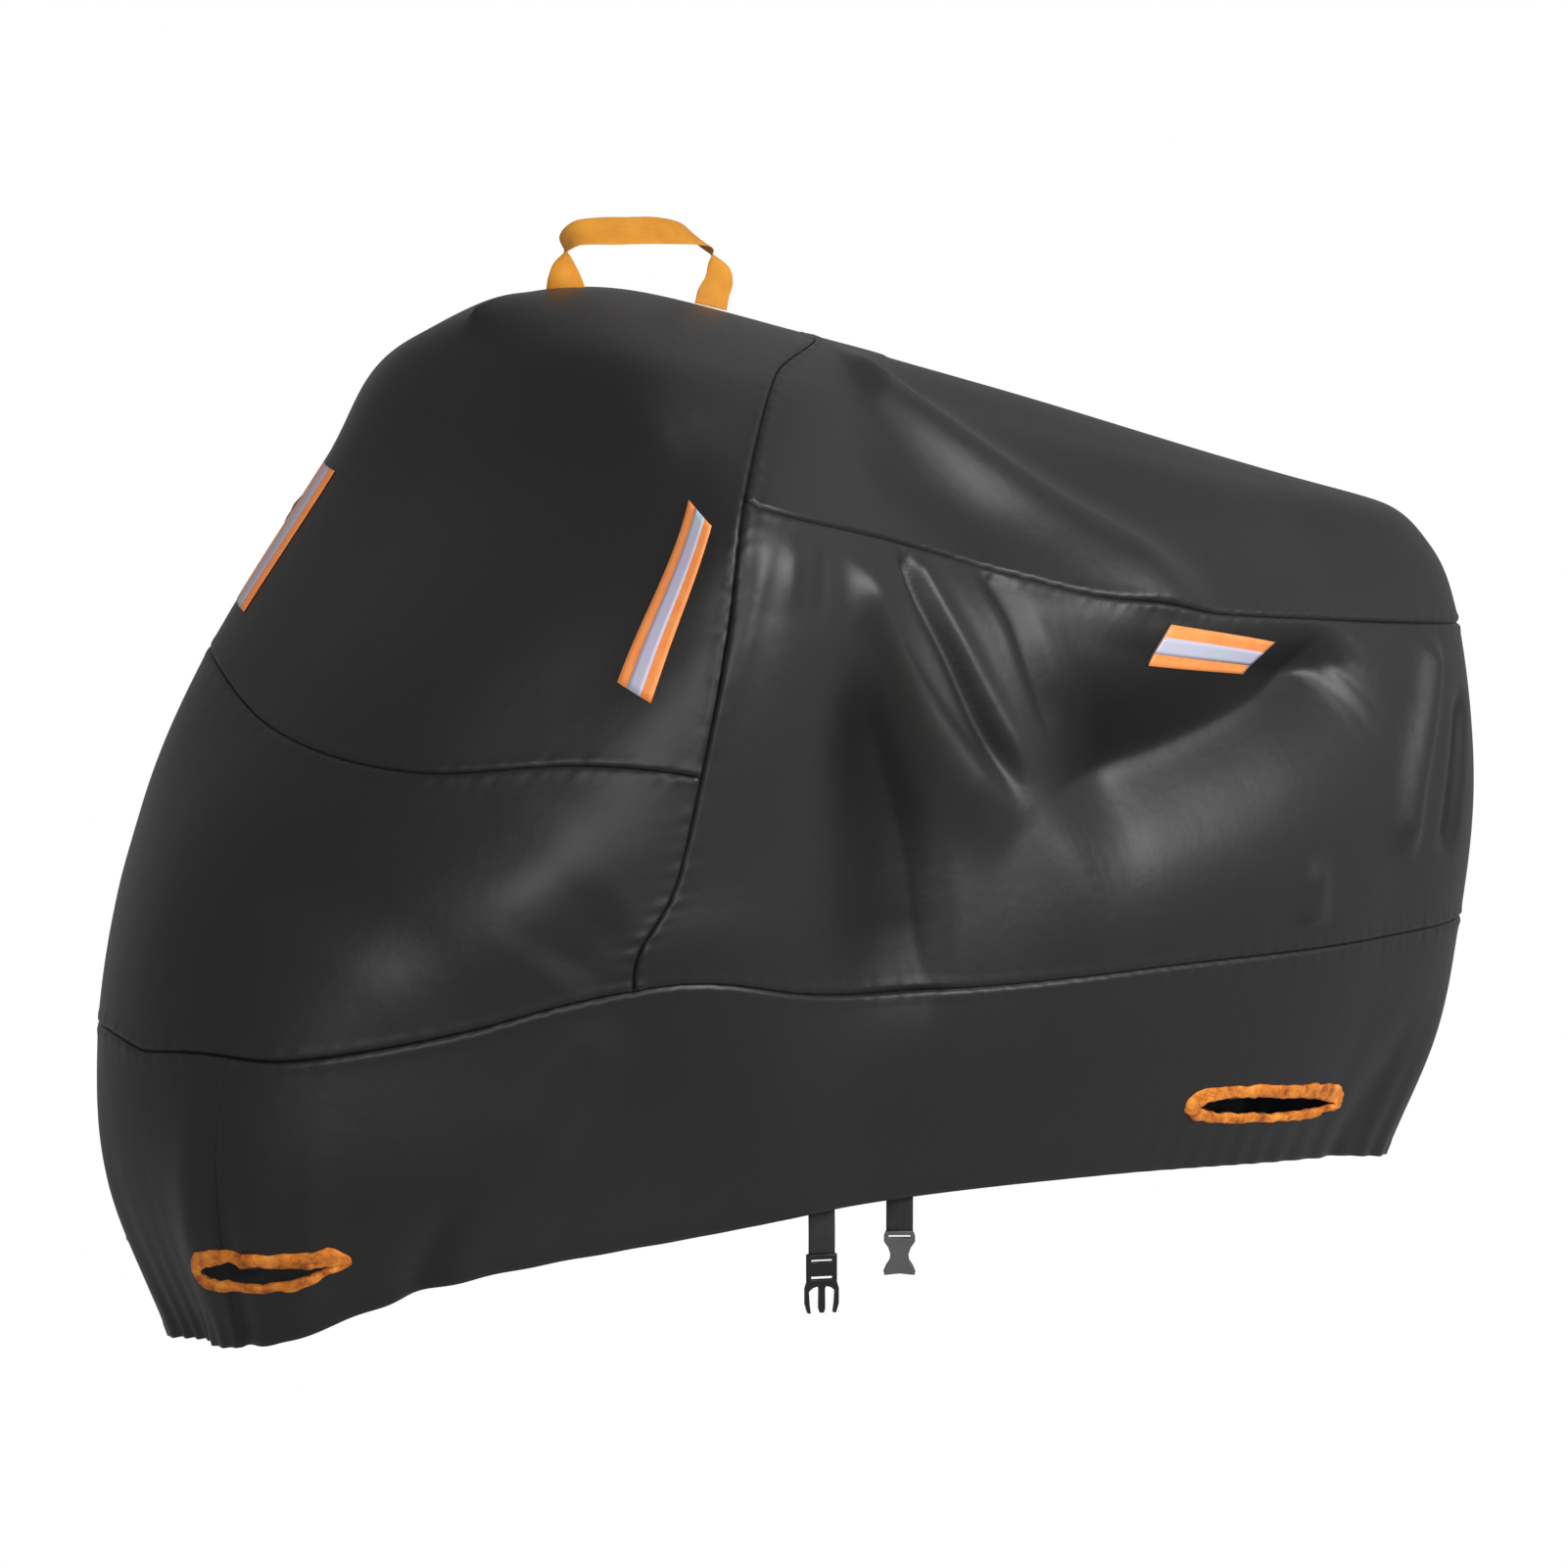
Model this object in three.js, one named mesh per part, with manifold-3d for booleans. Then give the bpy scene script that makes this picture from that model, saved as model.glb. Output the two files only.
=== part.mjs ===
// Motorcycle cover: a fitted, hollow shell of cloth panels as it hangs on a motorcycle, with reflective tapes,
// bound lock slots, a carrying handle and two buckled straps. Millimetres, +Z up, front at -X, near side at -Y.
import * as THREE from "three";
import Module from "manifold-3d";

const wasm = await Module();
wasm.setup();

// Driving sizes.
const CLOTH = 2.4; // thickness of the cloth
const SEAM_GAP = 0.4; // gap along each seam
const TAPE_ROWS = [0, 0.3, 0.7, 1]; // shares of a tape's width
const BAND_ROWS = [0.3, 0.7]; // those that the silver band covers
const TAPE_STEPS = 8;
const TAPE_THICK = 1.2;
const TAPE_CLEARANCE = 6; // from the cloth's outer face to the tape
const BAND_THICK = 0.8;
const BINDING_IN = 6; // how far a slot's binding reaches inside the cloth's outer face
const BINDING_OUT = 3; // how far it stands proud of that face
const BINDING_GAP = 0.7; // between it and the cloth
const WEBBING = 2.4; // thickness of the handle's and the straps' webbing
const HANDLE_STEPS = 40;
const STRAP_WIDTH = 35;
const STRAP_STEPS = 6;
const BUCKLE_THICK = 9;
const TOUCH = 0.4; // gap between pieces that touch
const ORIGIN = [101.0, -6.5, -37.4]; // the part's origin, seen from the origin of the tables below

const COLOURS = {
  cloth: 0x2d2d2e,
  orange: 0xf0913a,
  silver: 0xcbc9dc,
  binding: 0xd4762a,
  handle: 0xf2a334,
  webbing: 0x333335,
  plastic: 0x1d1d1f,
  greyPlastic: 0x6f6f72,
};

// Stations round the near half of the cover, each as [x, half width, z] at eight levels. The far half mirrors
// them but for FAR_SIDE.
const STATIONS = ["front", "corner", "cheek", "bar", "waist", "saddle", "loin", "tail", "rear"];
const LEVELS = [
  {
    level: "hem",
    front: [-932, 0, -10], corner: [-905, 112, 3], cheek: [-690, 235, 73],
    bar: [-400, 300, 92], waist: [-110, 330, 102], saddle: [290, 335, 80],
    loin: [690, 292, 36], tail: [990, 189, -7], rear: [1088, 0, -9],
  },
  {
    level: "skirt",
    front: [-1005, 0, 175], corner: [-955, 170, 185], cheek: [-735, 290, 215],
    bar: [-490, 350, 235], waist: [-150, 375, 240], saddle: [300, 380, 225],
    loin: [745, 330, 195], tail: [1068, 213, 170], rear: [1174, 0, 165],
  },
  {
    level: "seam",
    front: [-1020, 0, 340], corner: [-955, 190, 345], cheek: [-770, 305, 385],
    bar: [-580, 395, 443], waist: [-160, 400, 390], saddle: [340, 405, 365],
    loin: [795, 345, 335], tail: [1102, 220, 318], rear: [1206, 0, 312],
  },
  {
    level: "belly",
    front: [-965, 0, 560], corner: [-880, 216, 565], cheek: [-735, 350, 575],
    bar: [-550, 420, 580], waist: [-126, 387, 585], saddle: [330, 412, 545],
    loin: [785, 354, 545], tail: [1120, 228, 525], rear: [1222, 0, 520],
  },
  {
    level: "belt",
    front: [-785, 0, 800], corner: [-732, 208, 805], cheek: [-610, 340, 825],
    bar: [-508, 437, 872], waist: [-80, 358, 865], saddle: [297, 360, 827],
    loin: [735, 306, 796], tail: [1106, 204, 765], rear: [1211, 0, 755],
  },
  {
    level: "shoulder",
    front: [-568, 0, 1050], corner: [-530, 196, 1050], cheek: [-475, 332, 1045],
    bar: [-422, 396, 1036], waist: [0, 270, 1010], saddle: [360, 210, 967],
    loin: [765, 190, 915], tail: [1088, 158, 872], rear: [1190, 0, 860],
  },
  {
    level: "crown",
    front: [-522, 0, 1198], corner: [-487, 146, 1205], cheek: [-408, 236, 1198],
    bar: [-222, 236, 1168], waist: [75, 145, 1120], saddle: [395, 110, 1058],
    loin: [760, 105, 980], tail: [1055, 92, 930], rear: [1138, 0, 918],
  },
  {
    level: "ridge",
    front: [-505, 0, 1252], corner: [-425, 0, 1268], cheek: [-250, 0, 1265],
    bar: [30, 0, 1202], waist: [190, 0, 1163], saddle: [445, 0, 1100],
    loin: [765, 0, 1016], tail: [1005, 0, 954], rear: [1072, 0, 938],
  },
];
// The bars are turned to the near side: how far each level's front stations shift in x for each mm of y.
const TURNS = { hem: 0, skirt: 0, seam: 0.03, belly: 0.08, belt: 0.12, shoulder: 0.075, crown: 0.05, ridge: 0 };
const TURN_SHARES = { front: 1, corner: 1, cheek: 1, bar: 1, waist: 0.3 };
// The far side's own stations: how far each lies from the near one's mirror image in x, half width and z.
const FAR_SIDE = {
  hem: { corner: [0, 0, -26], cheek: [0, 0, -108], bar: [0, 0, -127], waist: [0, 0, -136],
    saddle: [0, 0, -112], loin: [0, 0, -64], tail: [0, 0, -16] },
  belly: { corner: [-2, 2, 0], cheek: [6, -8, 0] },
  belt: { corner: [-22, 9, 0], cheek: [5, -18, 0], bar: [8, -20, 0] },
  shoulder: { corner: [-44, 13, 0], cheek: [0, -16, 0], bar: [6, -14, 0] },
  crown: { corner: [-14, 0, -3], cheek: [6, -12, -4], bar: [4, -8, 0] },
};
// Typical distances between neighbouring stations and between neighbouring levels.
const RING_GAPS = [230, 190, 150, 400, 430, 430, 340, 250];
const LEVEL_GAPS = [180, 175, 220, 250, 210, 160, 120];

const HALF = STATIONS.length - 1; // ring places run from 0 at the front to HALF at the rear and on to ROUND
const ROUND = 2 * HALF;
const TOP = LEVELS.length - 1; // level places run from 0 at the hem to TOP at the ridge
const BAR = STATIONS.indexOf("bar");

// Seams, as level places at the stations. The skirts' seam has one more between each two; the belt seam runs
// from the bars to the rear, and the hood seam from the near bar round the front to the far bar.
const SKIRT_SEAM = [
  2.11, 2.16, 2.12, 2.1, 2.07, 2.04, 1.97, 1.895, 1.99, 2.0, 2.02, 2.04, 2.06, 2.07, 2.08, 2.07, 2.06,
];
const BELT_SEAM = [4.95, 4.49, 4.15, 4.01, 3.97, 3.95];
const HOOD_SEAM = [3.42, 3.58, 3.62, 3.8, 4.06, 3.94, 3.42];
const FRONT_JOIN = 2 / 3; // ring place of the skirts' front seam, which the turned bars pull to the near side

// Folds seen from the side, each along a line of points in x and z. Left and right are its widths, pinch is how
// narrow it starts, height is out of the cloth (below 0 into it), and fades are the shares of its length over
// which it comes in and goes out. A lower power than 2 gives a sharper line, and under is how far below the belt
// seam a fold fades, in levels. A broad fold also runs on below a tape.
const FOLDS = [
  { name: "saddle ridge", line: [[-30, 1175], [97, 1077], [227, 986], [362, 901], [500, 820]],
    left: 48, right: 62, pinch: 0.6, height: 29, fades: [0.1, 0.25] },
  { name: "saddle hollow", line: [[-150, 1080], [20, 985], [180, 900]],
    left: 60, right: 60, pinch: 0.6, height: -8, fades: [0.3, 0.4] },
  { name: "fan ridge", line: [[-222, 973], [-198, 909], [-157, 839], [-102, 765], [-48, 696], [13, 625],
    [75, 570]],
    left: 24, right: 62, pinch: 0.45, height: 26, fades: [0.06, 0.25], under: 0.1 },
  { name: "fan valley", line: [[-99, 961], [-75, 887], [-34, 807], [3, 728], [47, 656], [80, 605]],
    left: 15, right: 13, pinch: 0.5, height: -14, fades: [0.06, 0.2], under: 0.1 },
  { name: "fan second ridge", line: [[-67, 939], [-39, 878], [-4, 805], [35, 730], [73, 671], [97, 626]],
    left: 26, right: 16, pinch: 0.5, height: 8, fades: [0.08, 0.25], under: 0.1 },
  { name: "second valley", line: [[54, 918], [88, 858], [106, 787], [128, 725], [162, 672]],
    left: 34, right: 18, pinch: 0.7, height: -9, fades: [0.15, 0.3], under: 0.1 },
  { name: "pocket", line: [[743, 814], [692, 765], [602, 720], [500, 689], [373, 661], [264, 643], [157, 619],
    [88, 593]],
    left: 108, right: 140, pinch: 0.85, height: -58, fades: [0.12, 0.25], power: 1.4, under: 0.3, broad: true },
  { name: "bulge", line: [[27, 515], [102, 504], [214, 513], [348, 549], [501, 607], [632, 670], [708, 731]],
    left: 80, right: 130, pinch: 1, height: 8, fades: [0.25, 0.25] },
  { name: "side hollow", line: [[-223, 886], [-180, 782], [-136, 663], [-112, 563], [-109, 451], [-115, 300]],
    left: 45, right: 170, pinch: 0.5, height: -30, fades: [0.3, 0.3] },
  { name: "bar ridge", line: [[-382, 1010], [-420, 917], [-469, 783], [-507, 654]],
    left: 16, right: 12, pinch: 0.8, height: 7, fades: [0.1, 0.4] },
  { name: "bar second ridge", line: [[-333, 994], [-361, 936], [-373, 870]],
    left: 16, right: 14, pinch: 0.8, height: 6, fades: [0.1, 0.5] },
  { name: "bar valley", line: [[-286, 975], [-300, 918], [-320, 860]],
    left: 18, right: 12, pinch: 0.8, height: -5, fades: [0.15, 0.4] },
  { name: "nose ridge", line: [[-515, 696], [-571, 650], [-631, 605], [-698, 548], [-761, 499], [-811, 457]],
    left: 80, right: 80, pinch: 0.7, height: 14, fades: [0.35, 0.4] },
  { name: "nose hollow", line: [[-581, 551], [-627, 514], [-670, 459]],
    left: 55, right: 60, pinch: 1, height: -8, fades: [0.4, 0.3] },
  { name: "nose upper hollow", line: [[-654, 700], [-727, 634], [-815, 552], [-893, 482]],
    left: 75, right: 80, pinch: 1, height: -10, fades: [0.3, 0.3] },
  { name: "tail ridge", line: [[992, 760], [945, 660], [886, 545], [859, 438]],
    left: 20, right: 42, pinch: 0.7, height: 14, fades: [0.15, 0.2] },
  { name: "tail valley", line: [[1060, 680], [1037, 622], [1003, 529], [971, 432]],
    left: 20, right: 22, pinch: 0.8, height: -12, fades: [0.2, 0.2] },
  { name: "tail foot", line: [[622, 495], [629, 446], [623, 384]],
    left: 26, right: 26, pinch: 0.8, height: 7, fades: [0.4, 0.15] },
  { name: "skirt wave", line: [[-577, 411], [-616, 349], [-651, 278], [-690, 206]],
    left: 45, right: 50, pinch: 0.8, height: 8, fades: [0.25, 0.3] },
];
const FAR_SHARE = 0.7; // the far side's folds are weaker and lie a little further back
const FAR_SHIFT = 30;

// Gathers that run up from the hem, at a ring place, leaning by lean for each level.
const GATHERS = [
  { at: 0.3, lean: 0.1, width: 0.13, height: 6, top: 2.3 },
  { at: 0.75, lean: -0.05, width: 0.1, height: -8, top: 2.0 },
  { at: 1.15, lean: 0.1, width: 0.11, height: 6, top: 1.9 },
  { at: 1.75, lean: 0.2, width: 0.1, height: -7, top: 1.2 },
  { at: 6.35, lean: 0.1, width: 0.12, height: -7, top: 1.5 },
  { at: 6.75, lean: 0.05, width: 0.12, height: 7, top: 1.9 },
  { at: 7.2, lean: 0.05, width: 0.12, height: -7, top: 2.2 },
  { at: 8.7, lean: 0, width: 0.16, height: 7, top: 2.0 },
  { at: 9.5, lean: -0.1, width: 0.13, height: -7, top: 1.6 },
  { at: 14.6, lean: -0.1, width: 0.13, height: -7, top: 1.7 },
  { at: 15.3, lean: 0, width: 0.14, height: 6, top: 2.1 },
];

// Tapes, as ring and level places of their four corners: top start, top end, bottom start, bottom end.
const TAPES = [
  { name: "front_near", corners: [[2.2, 4.92], [2.15, 3.93], [2.6, 4.77], [2.48, 3.78]] },
  { name: "front_far", corners: [[15.2, 4.95], [15.22, 4.27], [14.93, 4.99], [14.95, 4.31]] },
  { name: "side_near", corners: [[5.2, 4.0], [5.72, 3.9], [5.1, 3.8], [5.6, 3.75]] },
  { name: "side_far", corners: [[10.8, 4.0], [10.28, 3.9], [10.9, 3.8], [10.4, 3.75]] },
];

// Lock slots, from one end to the other in ring and level places, with the heights of the binding and the hole.
const SLOTS = [
  { name: "front_near", from: [0.36, 0.59], to: [1.44, 0.49], height: 56, hole: 20 },
  { name: "front_far", from: [15.2, 0.59], to: [14.12, 0.49], height: 56, hole: 20 },
  { name: "rear_near", from: [5.26, 0.63], to: [6.18, 0.47], height: 64, hole: 24 },
  { name: "rear_far", from: [10.74, 0.63], to: [9.82, 0.47], height: 64, hole: 24 },
];
const HOLE_INSET = 16; // from a binding's end to its hole's end

// Sections of the handle: centre, and the half width as a vector.
const HANDLE = [
  { at: [-364, 0, 1275], half: [20, -15, 2.5] },
  { at: [-366, 0, 1289], half: [25, 0, 1] },
  { at: [-366, 0, 1308], half: [22, 12, 0] },
  { at: [-360, 0, 1330], half: [5, 24, 5] },
  { at: [-338, 0, 1341], half: [0, 19, 14] },
  { at: [-300, 0, 1343], half: [0, 18, 17] },
  { at: [-250, 0, 1343], half: [0, 18, 17] },
  { at: [-200, 0, 1342], half: [0, 18, 17] },
  { at: [-156, 0, 1336], half: [0, 20, 13] },
  { at: [-134, 0, 1320], half: [5, 23, 3] },
  { at: [-113, 0, 1297], half: [23, 9, -2] },
  { at: [-111, 0, 1277], half: [25, 2, -4] },
  { at: [-120, 0, 1260], half: [24.5, -2, -5] },
  { at: [-125, 0, 1246], half: [24.5, -3, -5.5] },
];

// Straps hang inside the hem, each from its top centre to its lower end, turned to face the front corner.
const STRAPS = [
  { name: "strap_male", at: [-192, -304], top: 150, end: 39, turn: -28 },
  { name: "strap_female", at: [-62, -308], top: 150, end: 51, turn: -40 },
];
const BUCKLES = [
  { name: "buckle_male", strap: "strap_male", outline: maleOutline, colour: COLOURS.plastic },
  { name: "buckle_female", strap: "strap_female", outline: femaleOutline, colour: COLOURS.greyPlastic },
];

const cover = new THREE.Group();
cover.name = "motorcycle_cover";

// Weights of four neighbours for a place t between the middle two, where a, b and c are the gaps between them.
function weights(t, a, b, c) {
  const t2 = t * t;
  const t3 = t2 * t;
  const leave = t3 - 2 * t2 + t;
  const arrive = t3 - t2;
  const first = 2 * t3 - 3 * t2 + 1;
  return [
    (-leave * b * b) / (a * (a + b)),
    first + (leave * (b - a)) / a - (arrive * c) / (b + c),
    1 - first + (leave * a) / (a + b) + (arrive * (c - b)) / c,
    (arrive * b * b) / (c * (b + c)),
  ];
}

// The ring gap after a place, and the level gap after a place.
function ringGap(i) {
  const k = ((i % ROUND) + ROUND) % ROUND;
  return RING_GAPS[k < HALF ? k : ROUND - 1 - k];
}
function levelGap(j) {
  return LEVEL_GAPS[Math.min(Math.max(j, 0), TOP - 1)];
}

// The control points: one ring for each level, with one more below the hem and one above the ridge. The ridge's
// ends lean towards their neighbours and up, which rounds the nose and the tail.
const END_REACH = 0.9;
const END_RISE = 0.2;
function makeRings() {
  const rings = LEVELS.map((row) =>
    Array.from({ length: ROUND }, (_, k) => {
      const far = k > HALF;
      const station = STATIONS[far ? ROUND - k : k];
      const own = (far && FAR_SIDE[row.level]?.[station]) || [0, 0, 0];
      const [x, half, z] = row[station].map((value, axis) => value + own[axis]);
      const y = far ? half : -half;
      return new THREE.Vector3(x - TURNS[row.level] * (TURN_SHARES[station] ?? 0) * y, y, z);
    }),
  );
  const below = rings[0].map((p, k) => p.clone().multiplyScalar(2).sub(rings[1][k]));
  const crown = rings[TOP - 1];
  const ridge = rings[TOP];
  const above = crown.map((_, k) => crown[(ROUND - k) % ROUND].clone());
  for (const [end, inner] of [[0, 1], [HALF, HALF - 1]]) {
    above[end] = ridge[end].clone()
      .addScaledVector(ridge[inner].clone().sub(ridge[end]), END_REACH)
      .addScaledVector(ridge[end].clone().sub(crown[end]), END_RISE);
  }
  return [below, ...rings, above];
}
const RINGS = makeRings();

// The smooth cover without folds, at ring place u and level place v.
function smooth(u, v) {
  const i = Math.floor(u);
  const j = Math.min(Math.max(Math.floor(v), 0), TOP - 1);
  const across = weights(u - i, ringGap(i - 1), ringGap(i), ringGap(i + 1));
  const up = weights(v - j, levelGap(j - 1), levelGap(j), levelGap(j + 1));
  const p = new THREE.Vector3();
  for (let b = 0; b < 4; b++) {
    for (let a = 0; a < 4; a++) {
      const k = (((i + a - 1) % ROUND) + ROUND) % ROUND;
      p.addScaledVector(RINGS[j + b][k], across[a] * up[b]);
    }
  }
  return p;
}

function smoothstep(low, high, value) {
  const t = Math.min(Math.max((value - low) / (high - low), 0), 1);
  return t * t * (3 - 2 * t);
}

const PATHS = FOLDS.map(({ line }) => {
  const points = line.map(([x, z]) => new THREE.Vector3(x, 0, z));
  return new THREE.CatmullRomCurve3(points, false, "catmullrom", 0.5).getPoints(4 * (points.length - 1));
});

// Signed distance from a point of the side view to a path, and the share of its length at the nearest place.
function nearest(path, x, z) {
  let best = Infinity;
  let off = 0;
  let along = 0;
  let done = 0;
  for (let k = 1; k < path.length; k++) {
    const start = path[k - 1];
    const stepX = path[k].x - start.x;
    const stepZ = path[k].z - start.z;
    const length = Math.hypot(stepX, stepZ);
    const dx = x - start.x;
    const dz = z - start.z;
    const t = Math.min(Math.max((dx * stepX + dz * stepZ) / (length * length), 0), 1);
    const gap = Math.hypot(dx - t * stepX, dz - t * stepZ);
    if (gap < best) {
      best = gap;
      off = stepX * dz > stepZ * dx ? gap : -gap;
      along = done + t * length;
    }
    done += length;
  }
  return [off, along / done];
}

// Height of one fold at a point of the side view. Its line is rounded over a share of its width.
const BLUNT = 0.1;
function foldHeight(fold, path, x, z) {
  const [off, t] = nearest(path, x, z);
  const width = (off > 0 ? fold.left : fold.right) * (fold.pinch + (1 - fold.pinch) * t);
  const [start, end] = fold.fades;
  const ends = smoothstep(0, start, t) * (1 - smoothstep(1 - end, 1, t));
  const far = Math.hypot(off / width, BLUNT) - BLUNT;
  return fold.height * ends * Math.exp(-Math.pow(far, fold.power ?? 2));
}

// How much a place lies under a tape, which keeps the cloth smooth as far as its margin.
const TAPE_MARGIN = 45;
function underTape(u, v) {
  const place = ((u % ROUND) + ROUND) % ROUND;
  let most = 0;
  for (const tape of TAPES) {
    const shares = [place, v].map((value, k) => {
      const values = tape.corners.map((corner) => corner[k]);
      const low = Math.min(...values);
      const high = Math.max(...values);
      const gap = k === 0 ? ringGap(Math.floor(low)) : levelGap(Math.floor(low));
      return 1 - smoothstep(0, TAPE_MARGIN, Math.max(low - value, value - high) * gap);
    });
    most = Math.max(most, shares[0] * shares[1]);
  }
  return most;
}

// How far the folds lift the cloth at a place, with p its smooth point. The two sides' folds change over in the
// middle, gathers fade from a share of their height on, and all end below the ridge.
const CHANGE_OVER = 25;
const GATHER_SHARE = 0.3;
const RIDGE_FADE = [TOP - 0.6, TOP - 0.1];
function relief(u, v, p) {
  const place = ((u % ROUND) + ROUND) % ROUND;
  const near = 1 - smoothstep(-CHANGE_OVER, CHANGE_OVER, p.y);
  const seam = beltSeam(place);
  let broad = 0;
  let fine = 0;
  FOLDS.forEach((fold, k) => {
    let height = 0;
    if (near > 0) height += near * foldHeight(fold, PATHS[k], p.x, p.z);
    if (near < 1) height += (1 - near) * FAR_SHARE * foldHeight(fold, PATHS[k], p.x - FAR_SHIFT, p.z);
    if (fold.under) height *= 1 - smoothstep(seam - fold.under, seam, v);
    if (fold.broad) broad += height;
    else fine += height;
  });
  for (const gather of GATHERS) {
    if (v > gather.top) continue;
    const off = (place - gather.at - gather.lean * v) / gather.width;
    fine += gather.height * (1 - smoothstep(GATHER_SHARE * gather.top, gather.top, v)) * Math.exp(-off * off);
  }
  return (broad + fine * (1 - underTape(u, v))) * (1 - smoothstep(...RIDGE_FADE, v));
}

// The outward normal of a surface function at a place. Near the ridge, both sides share their mean.
const STEP = 0.01;
function normalOf(surface, u, v) {
  const low = Math.max(v - STEP, 0);
  const high = Math.min(v + STEP, TOP - STEP);
  const inner = Math.min(v, TOP - STEP);
  const along = surface(u + STEP, inner).sub(surface(u - STEP, inner));
  const rise = surface(u, high).sub(surface(u, Math.min(low, high - STEP)));
  return along.cross(rise).normalize();
}
function smoothNormal(u, v) {
  const n = normalOf(smooth, u, v);
  return v > TOP - 2 * STEP ? n.add(normalOf(smooth, ROUND - u, v)).normalize() : n;
}
function folded(u, v) {
  const p = smooth(u, v);
  return p.addScaledVector(smoothNormal(u, v), relief(u, v, p));
}
function foldedNormal(u, v) {
  const n = normalOf(folded, u, v);
  return v > TOP - 2 * STEP ? n.add(normalOf(folded, ROUND - u, v)).normalize() : n;
}

// A closed geometry from a grid of places: its outer face lifted by high and its inner face by low. Along a
// sewn rim it is lifted the way of the smooth cover, so that panels stay apart where a fold crosses their seam.
function plate(places, high, low, sewnRim = false) {
  const rows = places.length;
  const columns = places[0].length;
  const points = [];
  for (const lift of [high, low]) {
    places.forEach((row, r) => {
      row.forEach(([u, v], c) => {
        const onRim = r === 0 || r === rows - 1 || c === 0 || c === columns - 1;
        const normal = sewnRim && onRim ? smoothNormal(u, v) : foldedNormal(u, v);
        points.push(folded(u, v).addScaledVector(normal, lift));
      });
    });
  }
  const size = rows * columns;
  const faces = [];
  const quad = (a, b, c, d) => faces.push([a, b, c], [a, c, d]);
  for (let r = 0; r < rows - 1; r++) {
    for (let c = 0; c < columns - 1; c++) {
      const k = r * columns + c;
      quad(k, k + 1, k + columns + 1, k + columns);
      quad(size + k, size + k + columns, size + k + columns + 1, size + k + 1);
    }
  }
  const rim = [];
  for (let c = 0; c < columns - 1; c++) rim.push(c);
  for (let r = 0; r < rows - 1; r++) rim.push(r * columns + columns - 1);
  for (let c = columns - 1; c > 0; c--) rim.push((rows - 1) * columns + c);
  for (let r = rows - 1; r > 0; r--) rim.push(r * columns);
  const onRidge = (k) => places[Math.floor(k / columns)][k % columns][1] === TOP;
  rim.forEach((a, k) => {
    const b = rim[(k + 1) % rim.length];
    if (!onRidge(a) || !onRidge(b)) quad(a, size + a, size + b, b);
  });
  return meshed(points, faces);
}

// A geometry from points and faces, with points that coincide merged and the faces this empties left out.
function meshed(points, faces) {
  const keys = new Map();
  const merged = [];
  const at = points.map((p) => {
    const key = [p.x, p.y, p.z].map((value) => Math.round(value * 1000)).join();
    if (!keys.has(key)) {
      keys.set(key, merged.length);
      merged.push(p);
    }
    return keys.get(key);
  });
  const kept = faces.map((face) => face.map((k) => at[k])).filter(([a, b, c]) => a !== b && b !== c && c !== a);
  return new THREE.BufferGeometry()
    .setAttribute("position", new THREE.Float32BufferAttribute(merged.flatMap((p) => p.toArray()), 3))
    .setIndex(kept.flat());
}

// Cuts solids out of a closed geometry.
function solidOf(geometry) {
  return new wasm.Manifold(
    new wasm.Mesh({
      numProp: 3,
      vertProperties: geometry.attributes.position.array,
      triVerts: new Uint32Array(geometry.index.array),
    }),
  );
}
function geometryOf(solid) {
  const mesh = solid.getMesh();
  return new THREE.BufferGeometry()
    .setAttribute("position", new THREE.BufferAttribute(mesh.vertProperties, 3))
    .setIndex(new THREE.BufferAttribute(mesh.triVerts, 1));
}
function cut(geometry, cutters) {
  return geometryOf(cutters.reduce((left, cutter) => left.subtract(solidOf(cutter)), solidOf(geometry)));
}

function addMesh(name, geometry, colour, roughness) {
  const material = new THREE.MeshStandardMaterial({ color: colour, roughness, metalness: 0 });
  const mesh = new THREE.Mesh(geometry, material);
  mesh.name = name;
  cover.add(mesh);
  return mesh;
}
function addCloth(name, geometry) {
  return addMesh(name, geometry, COLOURS.cloth, 0.7);
}

const TINY = 1e-6;

// A smooth value between stations, from a list with one value for each.
function between(values, place) {
  const last = values.length - 1;
  const at = Math.min(Math.max(place, 0), last);
  const i = Math.min(Math.floor(at), last - 1);
  const slope = (k) => {
    const low = Math.max(k - 1, 0);
    const high = Math.min(k + 1, last);
    return (values[high] - values[low]) / (high - low);
  };
  const t = at - i;
  const t2 = t * t;
  const t3 = t2 * t;
  return (2 * t3 - 3 * t2 + 1) * values[i] + (t3 - 2 * t2 + t) * slope(i)
    + (3 * t2 - 2 * t3) * values[i + 1] + (t3 - t2) * slope(i + 1);
}
function skirtSeam(u) {
  const place = ((u % ROUND) + ROUND) % ROUND;
  return between(SKIRT_SEAM, 2 * (place > HALF ? ROUND - place : place));
}
function beltSeam(u) {
  return between(BELT_SEAM, (u > HALF ? ROUND - u : u) - BAR);
}
// The hood seam takes a place from BAR on the near side down through 0 to -BAR on the far side.
function hoodSeam(u) {
  return between(HOOD_SEAM, BAR - u);
}

// Ring places from start to end, with a number of steps in each station's stretch that both halves share.
const STEPS = [3, 3, 3, 8, 11, 10, 4, 4];
function ringPlaces(start, end) {
  const places = [];
  for (let i = Math.floor(start); i < end; i++) {
    const k = ((i % ROUND) + ROUND) % ROUND;
    const steps = STEPS[k < HALF ? k : ROUND - 1 - k];
    for (let n = 0; n < steps; n++) {
      const place = i + n / steps;
      if (place > start - TINY && place < end - TINY) places.push(place);
    }
  }
  places.push(end);
  return places;
}

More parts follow.
